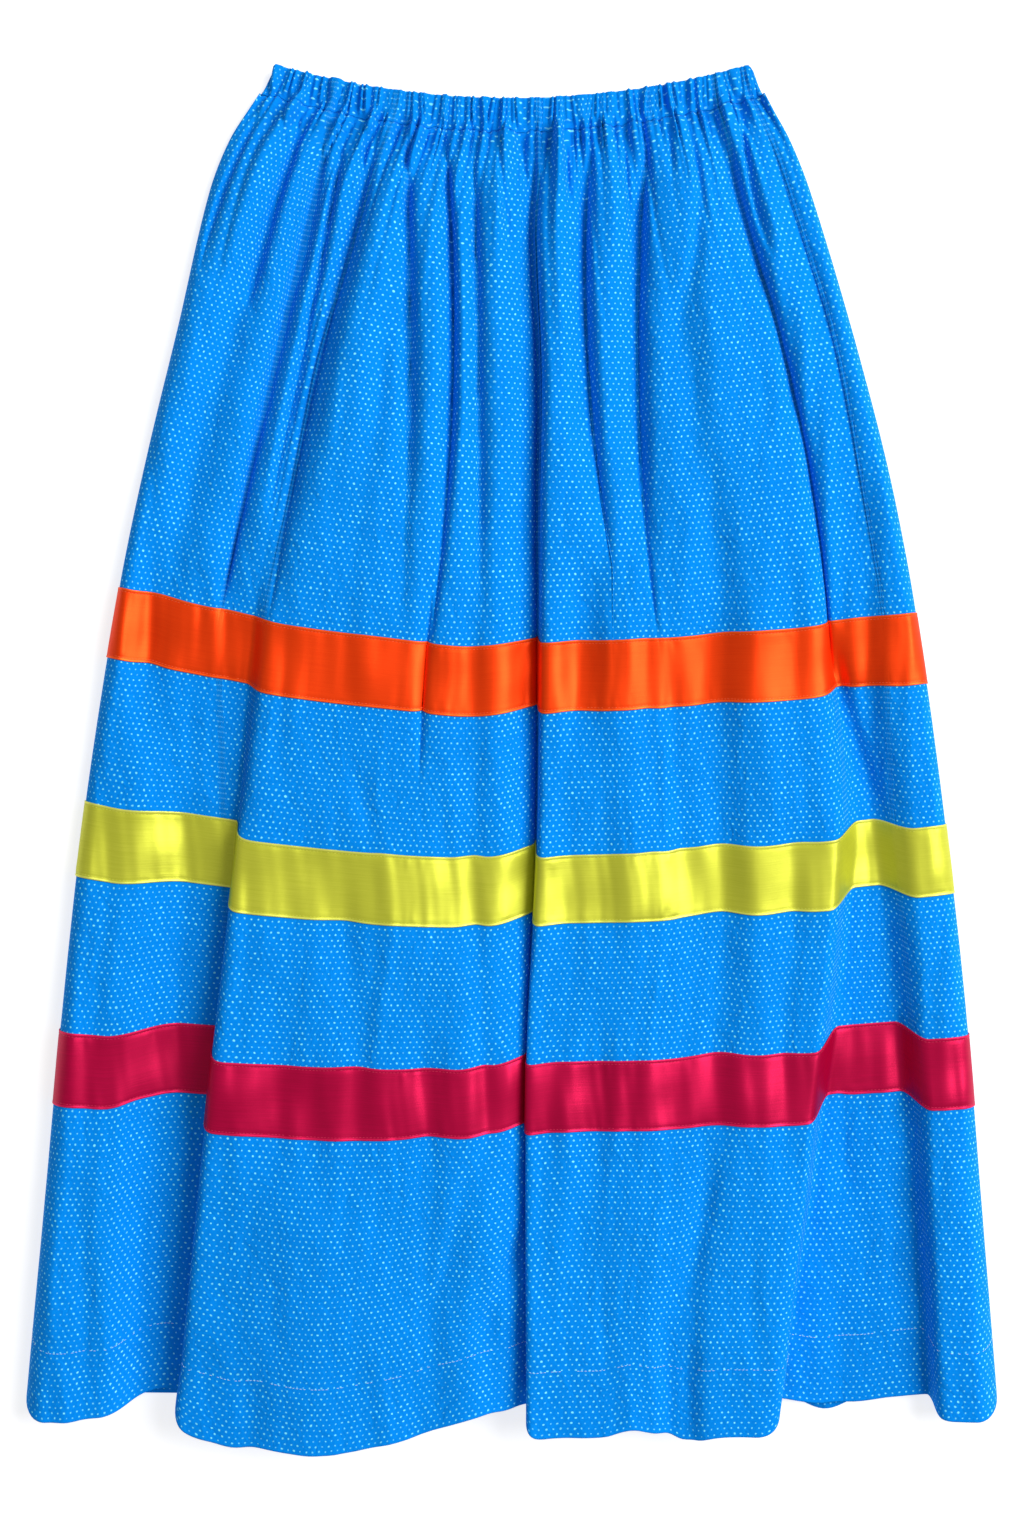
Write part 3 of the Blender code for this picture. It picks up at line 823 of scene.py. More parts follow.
V_ROWS = row_list(
    [PANEL_TOP, 60, 150, 391, 441, 544, 594, 696, 746, 914.5, 915.5, 958, 962, 963],
    [1.9, 3.4, 5.9, 6.3, 6.5, 6.3, 6.5, 6.3, 7.1, 1, 6.5, 2, 1])
front_rows = [front_row(v) for v in V_ROWS]
front_grid = np.array([points for points, _ in front_rows])
front_u = np.array([u for _, u in front_rows])
front_v = spread(V_ROWS, front_grid.shape[1])
print("front grid:", front_grid.shape[:2], "highest point %.1f mm" % front_grid[..., 2].max())

# %% [markdown]
# ## A closed shell of cloth
# Cloth is modelled as a closed wall: an outer face, an inner face moved in by the thickness, and
# a rim between them. The rim has a middle line, which stands out a little on the flat pieces, so
# that a turned edge looks round. The front panel's inner face, which is never seen, has only
# every second row and column. Every piece gets a UV map.

# %% Faces of a grid
def grid_normals(grid):
    """Outward unit normals of a grid of points."""
    down = np.gradient(grid, axis=0)
    across = np.gradient(grid, axis=1)
    normals = np.cross(down, across)
    return normals / np.linalg.norm(normals, axis=2, keepdims=True)


def strips(*corners):
    """Faces from arrays of the numbers of their first, second and other corners."""
    return np.stack(corners, axis=1).tolist()


def grid_faces(grid, start, outward):
    """Four-sided faces of a grid whose points are numbered from start."""
    rows, columns = grid.shape[:2]
    row_starts = np.arange(rows - 1)[:, None] * columns
    a = (row_starts + np.arange(columns - 1)[None, :]).ravel() + start
    b = a + columns
    return strips(a, b, b + 1, a + 1) if outward else strips(a, a + 1, b + 1, b)


def border(grid):
    """Indices round the edge of a grid, in the sense of its outward faces."""
    rows, columns = grid.shape[:2]
    number = np.arange(rows * columns).reshape(rows, columns)
    return np.concatenate([number[:, 0], number[-1, 1:], number[-2::-1, -1],
                           number[0, -2:0:-1]])


print("faces of a grid of 3 by 4 points:", len(grid_faces(np.zeros((3, 4, 3)), 0, True)))


# %% Shells
RIM_ROUND = 0.35
LEAST_LENGTH = 1e-9


def link_object(name, data):
    """A new object in the scene."""
    made = bpy.data.objects.new(name, data)
    bpy.context.scene.collection.objects.link(made)
    return made


def new_piece(name, points, faces, uv):
    """A smooth mesh object from points in millimetres, with the cloth's measure as UV map."""
    mesh = bpy.data.meshes.new(name)
    mesh.from_pydata((points * MM).tolist(), [], faces)
    mesh.update()
    corners = np.empty(len(mesh.loops), dtype=np.int32)
    mesh.loops.foreach_get("vertex_index", corners)
    layer = mesh.uv_layers.new(name="cloth")
    layer.data.foreach_set("uv", (uv[corners] * MM).astype(np.float32).ravel())
    mesh.polygons.foreach_set("use_smooth", np.ones(len(mesh.polygons), dtype=bool))
    piece = link_object(name, mesh)
    mesh.calc_loop_triangles()
    print(name, len(mesh.loop_triangles), "triangles")
    return piece


def shell(name, outer, inner, u, v, coarse=False):
    """A closed wall between two grids of points, with a line along the middle of its rim.

    A coarse wall keeps every second row and column of its inner face, which is never seen.
    """
    step = 2 if coarse else 1
    inner = inner[::step, ::step]
    over = outer.reshape(-1, 3)
    under = inner.reshape(-1, 3)
    rim = border(outer)
    inner_rim = border(inner)
    number = np.arange(len(rim))
    before = under[inner_rim[number // step]]
    after = under[inner_rim[(number + step - 1) // step % len(inner_rim)]]
    opposite = 0.5 * (before + after)
    middle = 0.5 * (over[rim] + opposite)
    edge_row = len(over) + len(under) + number
    edge_next = np.roll(edge_row, -1)
    inner_now = inner_rim + len(over)
    inner_next = np.roll(inner_now, -1)
    faces = grid_faces(outer, 0, True) + grid_faces(inner, len(over), False)
    faces += strips(np.roll(rim, -1), rim, edge_row, edge_next)
    if coarse:
        first, second, third = edge_row[0::2], edge_row[1::2], np.roll(edge_row[0::2], -1)
        faces += strips(second, first, inner_now)
        faces += strips(second, inner_now, inner_next)
        faces += strips(third, second, inner_next)
    else:
        wall = over[rim] - opposite
        out = np.cross(np.roll(middle, -1, axis=0) - np.roll(middle, 1, axis=0), wall)
        out /= np.maximum(np.linalg.norm(out, axis=1, keepdims=True), LEAST_LENGTH)
        middle = middle + out * np.linalg.norm(wall, axis=1, keepdims=True) * RIM_ROUND
        faces += strips(edge_next, edge_row, inner_now, inner_next)
    measure = np.stack([u, v], axis=2)
    outer_uv = measure.reshape(-1, 2)
    uv = np.concatenate([outer_uv, measure[::step, ::step].reshape(-1, 2), outer_uv[rim]])
    return new_piece(name, np.concatenate([over, under, middle]), faces, uv)


# %% [markdown]
# ## The front panel
# The front panel is the cloth that shows. It is the shell of the grid above, 0.8 mm thick, and
# 1.6 mm where the hem is turned up and sewn.

# %% Front panel
front_walls = np.array([wall_at(v) for v in V_ROWS])[:, None, None]
front_inner = front_grid - grid_normals(front_grid) * front_walls
front_panel = shell("front_panel_cloth", front_grid, front_inner, front_u, front_v, coarse=True)

# %% [markdown]
# ## The back panel
# The back panel lies flat on the floor under the front one, on its own three lengths of ribbon.
# It is gathered on the same elastic, so low troughs run down from the casing on its underside
# too. They rise from the floor, and they are lower than the front's folds because the skirt's
# weight presses them flat.

# %% Back panel
BACK_INSET = 2
BACK_HEM_SHORT = 7
PEEK_X = 226
PEEK_DOWN = 11.2
PEEK_WIDTH = 20
PEEK_GROWTH = (840, 120)
BACK_COLUMNS = 200
BACK_SIDE_FLAT = 30
BACK_U = 1000
BACK_GATHERS = table("rise reach spacing seed", ((1, 22, 8.3, 71), (0.7, 60, 17, 83)))
BACK_TROUGHS = table(GROOVE_FIELDS, (
    (25, 260, -140, -160, -178, 2.2, 7, 10),
    (25, 330, -104, -122, -136, 2.4, 6, 9),
    (25, 200, -61, -70, -78, 1.8, 7, 6),
    (25, 370, -22, -30, -34, 2.4, 8, 7),
    (25, 240, 14, 16, 22, 2, 6, 8),
    (25, 350, 49, 60, 74, 2.4, 8, 7),
    (25, 210, 88, 99, 112, 1.9, 6, 6),
    (25, 300, 127, 148, 170, 2.3, 9, 7),
    (610, 680, -60, -60, -60, 1.2, 16, 18),
    (760, 1300, -210, -222, -236, 1.6, 14, 18),
    (760, 1300, 84, 92, 101, 1.7, 18, 14),
))


def back_troughs(x, v):
    """How far the back panel rises off the floor along a section."""
    total = hollows(BACK_TROUGHS, x, v)
    seam_x = seam_place(x, v)
    for rise, reach, spacing, seed in BACK_GATHERS:
        strength = rise * math.exp(-max(v - BAND_DEPTH, 0) / reach)
        total += strength * (1 - ripple(seam_x, spacing, seed))
    return total * ease((from_side(x, v) - TUCK_UNDER) / BACK_SIDE_FLAT)


def flat_section(v, inset, columns, lift):
    """Points of a section that lies flat, with the side folds' outline moved in."""
    x = np.linspace(plan("left", v) + inset, plan("right", v) - inset, columns)
    short = BACK_HEM_SHORT * max(v - BAND_DEPTH, 0) / (SKIRT_LENGTH - BAND_DEPTH)
    low = PEEK_DOWN * bell(x - PEEK_X, PEEK_WIDTH) * grow(v, *PEEK_GROWTH)
    return np.stack([x, arc_y(x, v) - short - low, np.full_like(x, lift)], axis=1)


BACK_ROWS = row_list(
    [PANEL_TOP, 60, 150, 387, 390.7, 441.3, 445, 540, 543.7, 594.3, 598, 692, 695.7, 746.3, 750,
     914.5, 915.5, 963],
    [2.5, 6, 10, 1.9, 12, 1.9, 12, 1.9, 12, 1.9, 12, 1.9, 12, 1.9, 12, 1, 8])
back_rows = []
for v in BACK_ROWS:
    section = flat_section(v, BACK_INSET, BACK_COLUMNS, back_lift(v))
    if back_lift(v) == BACK_ON_FLOOR:
        section[:, 2] += back_troughs(section[:, 0], v)
    back_rows.append(section)
back_under = np.array(back_rows)
back_walls = np.array([[[0, 0, wall_at(v)]] for v in BACK_ROWS])
back_panel = shell("back_panel_cloth", back_under + back_walls, back_under,
                   back_under[..., 0] + BACK_U, spread(BACK_ROWS, BACK_COLUMNS))

# %% [markdown]
# ## The waist casing
# The casing is the top edge of the cloth, folded over a 25 mm elastic and sewn down. Relaxed
# elastic pulls it into puckers a few millimetres wide, pinched at the seam and rounded over the
# top edge. It is a flattened ring: its section goes up the outside, over the rim and down the
# inside, where its two walls nearly touch, and the puckers push the outside in and out.

# %% Waist casing
BAND_COLUMNS = 430
BAND_TURN = 12
BAND_OUTER = (24.98, 24.4, 23.4, 22, 20, 17.5, 15, 12.5, 10, 7.5, 5.2, 3.4, 2, 1, 0.35, 0)
BAND_RIM = ((0, 1.5), (0.5, 2.6), (1.8, 3.3))
BAND_INNER = ((8, BAND_WALL), (16, BAND_WALL), (23, BAND_WALL), (24.7, BAND_WALL - 0.8))
BAND_ROUND = 2
BAND_LOWEST = 4.4
BAND_FLOOR = 0.15
BAND_HOLLOW_DOWN = 0.8
BAND_HOLLOW_HALF = 0.4
SEAM_SHARE_GROWTH = (15, 10)
FULL_PUCKER = 1
RIM_PUCKER = 0.55
BACK_PUCKER = 0.5
BACK_DRAW_IN = 0.35
END_CORNER = 8
TOP_SCALLOP = 0.2
TOP_SCALLOP_REACH = 4
FACING_UP = 0.99
PUCKERS = table("spacing rise seed", ((4.9, 5.6, 41), (7.4, 3.4, 11), (13.5, 1, 23)))
PUCKER_LEAN = 2.6
PUCKER_LEAN_BEND = 37
PUCKER_LEVEL = 0.5
PUCKER_AT_SEAM = 0.7
PUCKER_UNEVEN = 0.3
PUCKER_UNEVEN_BEND = 120


def pucker(seam_x, v, side):
    """Height of the casing's puckers; those of the back have their own places."""
    slant = PUCKER_LEAN * wander(seam_x, PUCKER_LEAN_BEND, 3)
    lean = seam_x + slant * (BAND_DEPTH - v) / BAND_DEPTH
    total = np.zeros_like(seam_x)
    for spacing, rise, seed in PUCKERS:
        total += rise * (ripple(lean, spacing, seed + 100 * side) - PUCKER_LEVEL)
    middle_share = math.sin(math.pi * v / BAND_DEPTH)
    firm = PUCKER_AT_SEAM + (1 - PUCKER_AT_SEAM) * middle_share
    return total * firm * (0.8 + PUCKER_UNEVEN * wander(seam_x, PUCKER_UNEVEN_BEND, 61))


def band_ring(v, inset, puckered):
    """One ring of the casing at v, its outer face moved in by inset, and its seam places."""
    radius = BAND_THICKNESS / 2
    left = plan("left", v) + radius
    right = plan("right", v) - radius
    x_line = np.linspace(left, right, BAND_COLUMNS)
    angles = np.pi * np.arange(1, BAND_TURN) / BAND_TURN
    level = np.zeros(BAND_COLUMNS)
    turned = np.zeros(len(angles))
    x = np.concatenate([x_line, turned + right, x_line[::-1], turned + left])
    out_x = np.concatenate([level, np.sin(angles), level, -np.sin(angles)])
    out_z = np.concatenate([level + 1, np.cos(angles), level - 1, -np.cos(angles)])
    round_u = np.concatenate([level, radius * angles, level, -radius * angles[::-1]])
    seam_x = seam_place(x + out_x * radius, v)
    share = 0.5 + 0.5 * out_z
    push = pucker(seam_x, v, 0) * share + BACK_PUCKER * pucker(seam_x, v, 1) * (1 - share)
    push *= puckered
    reach = radius - inset + push - BACK_DRAW_IN * puckered * (1 - share)
    z = radius + out_z * reach
    if puckered == 0:
        z = radius - BAND_HOLLOW_DOWN + out_z * (BAND_HOLLOW_HALF + BAND_WALL - inset)
    else:
        if puckered == FULL_PUCKER:
            at_seam = grow(v, *SEAM_SHARE_GROWTH)
            on_top = np.where(out_z > FACING_UP, at_seam, 0)
            z = z + (front_heights(seam_x, PANEL_TOP, True) - z) * on_top
        z = np.where(out_z > FACING_UP, np.maximum(z, BAND_LOWEST), z)
    from_end = np.minimum(x - left, right - x) + radius * (1 - np.abs(out_x))
    corner = END_CORNER * (1 - quarter_round(from_end / END_CORNER))
    y = arc_y(x, v) - corner * (1 - v / BAND_DEPTH) - seam_wave(seam_x) * v / BAND_DEPTH
    y = y + TOP_SCALLOP * puckered * push * math.exp(-v / TOP_SCALLOP_REACH)
    return np.stack([x + out_x * reach, y, np.maximum(z, BAND_FLOOR)], axis=1), seam_x, round_u


# %% Rings of the casing
ring_plans = [(v, 0.5 * BAND_ROUND * (1 - quarter_round(v / BAND_ROUND)), FULL_PUCKER, v)
              for v in BAND_OUTER]
ring_plans += [(v, inset, RIM_PUCKER, -inset) for v, inset in BAND_RIM]
ring_plans += [(v, inset, 0, -BAND_WALL - v) for v, inset in BAND_INNER]
seam_u = front_u[0][len(TUCK_ANGLES):-len(TUCK_ANGLES)]
seam_columns = column_places(PANEL_TOP)
band_points = []
band_uv = []
for v, inset, puckered, ring_v in ring_plans:
    points, seam_x, round_u = band_ring(v, inset, puckered)
    band_points.append(points)
    ring_u = np.interp(seam_x, seam_columns, seam_u) + round_u
    band_uv.append(np.stack([ring_u, np.full_like(ring_u, ring_v)], axis=1))
band_faces = []
around = np.arange(len(points))
for i in range(len(ring_plans)):
    here = i * len(around) + around
    above = (i + 1) % len(ring_plans) * len(around) + around
    band_faces += strips(here, np.roll(here, -1), np.roll(above, -1), above)
waist_casing = new_piece("waist_casing", np.concatenate(band_points), band_faces,
                         np.concatenate(band_uv))

# %% [markdown]
# ## The ribbons
# Each ribbon is a strip of polyester satin, 50 mm wide, sewn flat on the cloth along both edges.
# It follows the cloth's folds, so its front length is made from the panel's own sections, moved
# out. It has a firm woven edge, a hair thicker than the middle, and it is drawn in a little
# between the stitches, which puckers it beside each seam. The back lengths lie flat on the floor.

# %% Ribbons
RIBBON_ACROSS = (0, 0.5, 1.1, 1.8, 2.6, 3.6, 5.2, 8, 13, 19, 25, 31, 37, 42,
                 44.8, 46.4, 47.4, 48.2, 48.9, 49.5, 50)
SELVAGE = 1.1
SELVAGE_RISE = 0.12
STITCH_INSET = 2.1
STITCH_DRAW = 0.14
STITCH_DRAW_WIDTH = 0.7
RIBBON_PUCKER = 0.20
RIBBON_PUCKER_AT = 5.5
RIBBON_PUCKER_WIDTH = 3.2
BACK_RIBBON_INSET = 4
BACK_RIBBON_COLUMNS = 120
BACK_RIBBON_TOP = 0.6
BACK_RIBBON_OUT = 0.05
FAR_SEAM = 57
ends = len(TUCK_ANGLES) - 1


def ribbon_relief(across, along, seed):
    """Height of a ribbon's woven edges, stitch lines and stitch puckers."""
    from_edge = np.minimum(across, RIBBON_WIDTH - across)
    lip = SELVAGE_RISE * np.exp(-((from_edge / SELVAGE) ** 4))
    sewn = STITCH_DRAW * bell(from_edge - STITCH_INSET, STITCH_DRAW_WIDTH)
    place = along + np.where(across < RIBBON_WIDTH / 2, 0, FAR_SEAM)
    uneven = wander(place, 13, seed) * (0.5 + 0.5 * wander(place, 71, seed + 1))
    puckers = RIBBON_PUCKER * uneven * bell(from_edge - RIBBON_PUCKER_AT, RIBBON_PUCKER_WIDTH)
    return lip - sewn + puckers


def back_ribbon_line(v, lift):
    """One line of points along a back ribbon."""
    return flat_section(v, BACK_RIBBON_INSET, BACK_RIBBON_COLUMNS, lift)


ribbon_grids = {}
ribbon_pieces = {}
for number, (colour, top) in enumerate(RIBBON_TOPS.items()):
    rows = [front_row(top + across) for across in RIBBON_ACROSS]
    cloth = np.array([points[ends:-ends] for points, _ in rows])
    u = np.array([row_u[ends:-ends] for _, row_u in rows])
    across = spread(RIBBON_ACROSS, cloth.shape[1])
    out = grid_normals(cloth)
    low = cloth + out * SEAM_GAP
    relief = ribbon_relief(across, u, 200 + number)
    ribbon_grids[colour] = low + out * (RIBBON_WALL + relief[..., None])
    ribbon_pieces[colour + "_front"] = shell(colour + "_ribbon_front", ribbon_grids[colour],
                                             low, u, across)
    under = np.array([back_ribbon_line(top + v, BACK_ON_FLOOR) for v in RIBBON_ACROSS])
    over = under + np.array((0, 0, BACK_RIBBON_TOP))
    across = spread(RIBBON_ACROSS, BACK_RIBBON_COLUMNS)
    relief = ribbon_relief(across, under[..., 0], 220 + number)
    under[..., 2] -= relief - BACK_RIBBON_OUT
    ribbon_pieces[colour + "_back"] = shell(colour + "_ribbon_back", over, under,
                                            under[..., 0] + BACK_U, across)

# %% [markdown]
# ## Colours and nodes
# Colours are given as they look on a screen, in sRGB hex, and one function turns them into the
# linear values that the renderer works with. One more function adds a node with its settings and
# its inputs, for materials and geometry alike.


# %% Helpers for nodes and colours
UV_TO_MM = 1000


def linear(hex_colour):
    """An sRGB hex colour as linear red, green, blue and alpha."""
    values = [int(hex_colour[i:i + 2], 16) / 255 for i in (1, 3, 5)]
    return (*(c / 12.92 if c <= 0.04045 else ((c + 0.055) / 1.055) ** 2.4 for c in values), 1)


def add_node(tree, kind, inputs=None, **settings):
    """One node with its settings; an input is a value or the output socket that feeds it."""
    node = tree.nodes.new(kind)
    for name, value in settings.items():
        setattr(node, name, value)
    for name, value in (inputs or {}).items():
        socket = node.inputs[name]
        if isinstance(value, bpy.types.NodeSocket):
            tree.links.new(value, socket)
        else:
            socket.default_value = value
    return node


def vector_math(tree, operation, *inputs, **more):
    """The output of a vector sum."""
    node = add_node(tree, "ShaderNodeVectorMath", {**dict(enumerate(inputs)), **more},
                    operation=operation)
    return node.outputs["Value" if operation == "LENGTH" else "Vector"]


def number_math(tree, operation, *inputs):
    """The output of a sum of numbers."""
    node = add_node(tree, "ShaderNodeMath", dict(enumerate(inputs)), operation=operation)
    return node.outputs[0]


def noise(tree, place, scale, detail, **more):
    """The outputs of a flat noise texture."""
    return add_node(tree, "ShaderNodeTexNoise",
                    {"Vector": place, "Scale": scale, "Detail": detail, **more},
                    noise_dimensions="2D").outputs


def mix(tree, factor, first, second):
    """The output of a mix of two colours."""
    return add_node(tree, "ShaderNodeMix", {"Factor": factor, "A": first, "B": second},
                    data_type="RGBA").outputs["Result"]


def remap(tree, value, to_range, from_range=(0, 1), **settings):
    """The output of a map from one range of numbers to another."""
    names = ("From Min", "From Max", "To Min", "To Max")
    return add_node(tree, "ShaderNodeMapRange",
                    {"Value": value, **dict(zip(names, from_range + to_range))},
                    **settings).outputs[0]


def bump(tree, relief, strength, distance, **more):
    """The normals of a face with a low relief."""
    return add_node(tree, "ShaderNodeBump", {"Height": relief, "Strength": strength,
                                             "Distance": distance, **more}).outputs[0]


def cloth_in_mm(tree):
    """The cloth's own measure in millimetres."""
    uv = add_node(tree, "ShaderNodeUVMap", uv_map="cloth")
    return vector_math(tree, "SCALE", uv.outputs[0], Scale=UV_TO_MM)


def set_surface(tree, inputs):
    """A principled surface, joined to the material's output."""
    surface = add_node(tree, "ShaderNodeBsdfPrincipled", inputs)
    add_node(tree, "ShaderNodeOutputMaterial", {"Surface": surface.outputs[0]})


def new_material(name):
    """A new material and its empty node tree."""
    material = bpy.data.materials.new(name)
    material.use_nodes = True
    material.node_tree.nodes.clear()
    return material, material.node_tree


print("mid grey on a screen is %.2f in linear light" % linear("#808080")[0])

# %% [markdown]
# ## Dotted cotton
# Quilting cotton, dyed bright blue and printed with pale pin dots. It is a plain weave with a
# matt, faintly hairy face, so it has high roughness, a little sheen and no gloss. The dots are
# about 1.2 mm across, 4.36 mm apart in rows 3.78 mm apart, with every other row moved by half a
# step: two square-cornered grids laid over each other. The yarns are uneven, which mottles the
# blue.

# %% Dotted cotton
DOT_STEP = 4.36
DOT_ROWS = 7.56
DOT_RADIUS = 0.58
DOT_EDGE = 0.15
YARN_STEP = 0.9


def dot_grid(tree, place, half):
    """How much ink of one of the two grids of dots there is at a place."""
    middle = (0.5, 0.5, 0)
    cell = vector_math(tree, "MULTIPLY_ADD", place, (1 / DOT_STEP, 1 / DOT_ROWS, 0),
                       (half, half, 0))
    corner = vector_math(tree, "FLOOR", cell)
    part = vector_math(tree, "SUBTRACT", cell, corner)
    from_centre = vector_math(tree, "SUBTRACT", part, middle)
    away = vector_math(tree, "MULTIPLY", from_centre, (DOT_STEP, DOT_ROWS, 0))
    chance = add_node(tree, "ShaderNodeTexWhiteNoise", {"Vector": corner}, noise_dimensions="2D")
    size = remap(tree, chance.outputs["Value"], (-0.14, 0.12))
    sized = number_math(tree, "SUBTRACT", vector_math(tree, "LENGTH", away), size)
    ink = remap(tree, sized, (1, 0), (DOT_RADIUS - DOT_EDGE, DOT_RADIUS + DOT_EDGE),
                interpolation_type="SMOOTHSTEP")
    strength = remap(tree, chance.outputs["Color"], (0.5, 1))
    return number_math(tree, "MULTIPLY", ink, strength)


def dotted_cotton(name):
    """Blue plain weave with pale dots."""
    material, tree = new_material(name)
    in_mm = cloth_in_mm(tree)
    wobble = noise(tree, in_mm, 0.22, 2)["Color"]
    centred = vector_math(tree, "SUBTRACT", wobble, (0.5, 0.5, 0.5))
    moved = vector_math(tree, "MULTIPLY_ADD", centred, (1.6, 1.6, 0), in_mm)
    dots = number_math(tree, "MAXIMUM", dot_grid(tree, moved, 0), dot_grid(tree, moved, 0.5))
    mottle = noise(tree, in_mm, 0.55, 4, Roughness=0.7)["Fac"]
    blue = add_node(tree, "ShaderNodeValToRGB", {"Fac": mottle})
    stops = ((0.3, "#007EE0"), (0.75, "#008CEC"))
    for stop, (position, hex_colour) in zip(blue.color_ramp.elements, stops):
        stop.position = position
        stop.color = linear(hex_colour)
    wave = {"Vector": in_mm, "Scale": 0.5 / YARN_STEP, "Distortion": 1.2, "Detail": 1}
    yarns = [add_node(tree, "ShaderNodeTexWave", wave, bands_direction=way).outputs["Fac"]
             for way in ("X", "Y")]
    creases = noise(tree, in_mm, 0.085, 3, Roughness=0.55, Distortion=0.6)["Fac"]
    soft = bump(tree, creases, 0.55, 0.002)
    woven = bump(tree, number_math(tree, "MULTIPLY", *yarns), 0.25, 0.0002, Normal=soft)
    set_surface(tree, {"Base Color": mix(tree, dots, blue.outputs[0], linear("#84F0FF")),
                       "Roughness": 0.9, "Specular IOR Level": 0.06,
                       "Sheen Weight": 0.05, "Sheen Roughness": 0.5,
                       "Sheen Tint": linear("#4FB4FF"), "Normal": woven})
    return material


cotton = dotted_cotton("pin_dot_quilting_cotton")
print("cotton nodes:", len(cotton.node_tree.nodes))

# %% [markdown]
# ## Satin ribbon
# Polyester satin has long shiny threads on its face that run along the ribbon. They throw the
# light back in a broad band across the ribbon, so it is bright where it tilts to the light and
# deep in colour where it tilts away. That is a smooth, strongly anisotropic surface with a low
# bump along the threads. A paler colour is painted along both edges as a painted highlight on
# the turned edges.


# %% Satin ribbon
EDGE_INNER = 1.5
EDGE_OUTER = 0.9


def satin(name, deep, face, edge_highlight_colour, glow):
    """Shiny woven ribbon in one colour."""
    material, tree = new_material(name)
    in_mm = cloth_in_mm(tree)
    parts = add_node(tree, "ShaderNodeSeparateXYZ", {0: in_mm})
    half = RIBBON_WIDTH / 2
    centred = number_math(tree, "SUBTRACT", parts.outputs["Y"], half)
    # A paler colour is painted in a narrow band along both edges of the ribbon: a painted
    # highlight.
    painted_highlight_share = remap(tree, number_math(tree, "ABSOLUTE", centred), (0, 1),
                    (half - EDGE_INNER, half - EDGE_OUTER), interpolation_type="SMOOTHSTEP")
    stretched = vector_math(tree, "MULTIPLY", in_mm, (0.03, 1.1, 0))
    threads = noise(tree, stretched, 1, 3, Roughness=0.6)["Fac"]
    face_colour = mix(tree, threads, linear(deep), linear(face))
    tangent = add_node(tree, "ShaderNodeTangent", direction_type="UV_MAP", uv_map="cloth")
    set_surface(tree, {"Base Color": mix(tree, painted_highlight_share, face_colour, linear(edge_highlight_colour)),
                       "Roughness": 0.4, "Anisotropic": 0.55, "Metallic": 0.52,
                       "Specular IOR Level": 0.5, "Specular Tint": linear(glow),
                       "Coat Weight": 0.04, "Coat Roughness": 0.42,
                       "Normal": bump(tree, threads, 0.12, 0.0003),
                       "Tangent": tangent.outputs[0]})
    return material


# Each satin's third colour is its painted edge highlight; the last is the tint of its real gloss.
satins = {
    "orange": satin("orange_polyester_satin", "#EA3806", "#F5430B", "#FF5A1C", "#FFB070"),
    "yellow": satin("yellow_green_polyester_satin", "#BEC232", "#D0D244", "#E2E464", "#FFFFC0"),
    "magenta": satin("crimson_magenta_polyester_satin", "#AC0038", "#C60044", "#E01854",
                     "#FFA0B8"),
}
print("satins:", sorted(satins))

# %% [markdown]
# ## Sewing thread
# Spun polyester thread, a quarter of a millimetre thick, is matt with a slight gloss. The hem is
# sewn in white and each ribbon in its own colour.

# %% Sewing thread
def spun_thread(name, hex_colour):
    """Matt twisted thread in one colour."""
    material, tree = new_material(name)
    place = add_node(tree, "ShaderNodeTexCoord").outputs["Object"]
    twist = add_node(tree, "ShaderNodeTexNoise", {"Vector": place, "Scale": 2600, "Detail": 1})
    shade = remap(tree, twist.outputs["Fac"], (0.75, 1.05))
    colour = vector_math(tree, "SCALE", linear(hex_colour)[:3], Scale=shade)
    set_surface(tree, {"Base Color": colour, "Roughness": 0.6, "Sheen Weight": 0.1})
    return material


threads = {
    "white": spun_thread("white_spun_thread", "#C8ECFF"),
    "blue": spun_thread("blue_spun_thread", "#1C8DF0"),
    "orange": spun_thread("orange_spun_thread", "#FF6A2C"),
    "yellow": spun_thread("yellow_green_spun_thread", "#DCDD50"),
    "magenta": spun_thread("magenta_spun_thread", "#DC1C55"),
}
print("threads:", sorted(threads))

# %% [markdown]
# ## Stitches
# A machine seam is a row of equal stitches on a path, so Geometry Nodes make it: the path is
# resampled at the stitch pitch, a short rounded stitch is put on each point along the path's
# direction, and a few are left out where the thread sinks into the cloth. The result is turned
# into a plain mesh, and the modifier is removed.


# %% Stitch tree
STITCH_INPUTS = (
    ("Path", "Geometry"), ("Pitch", "Float"), ("Stitch Length", "Float"),
    ("Stitch Width", "Float"), ("Showing Share", "Float"), ("Seed", "Int"),
    ("Thread", "Material"),
)


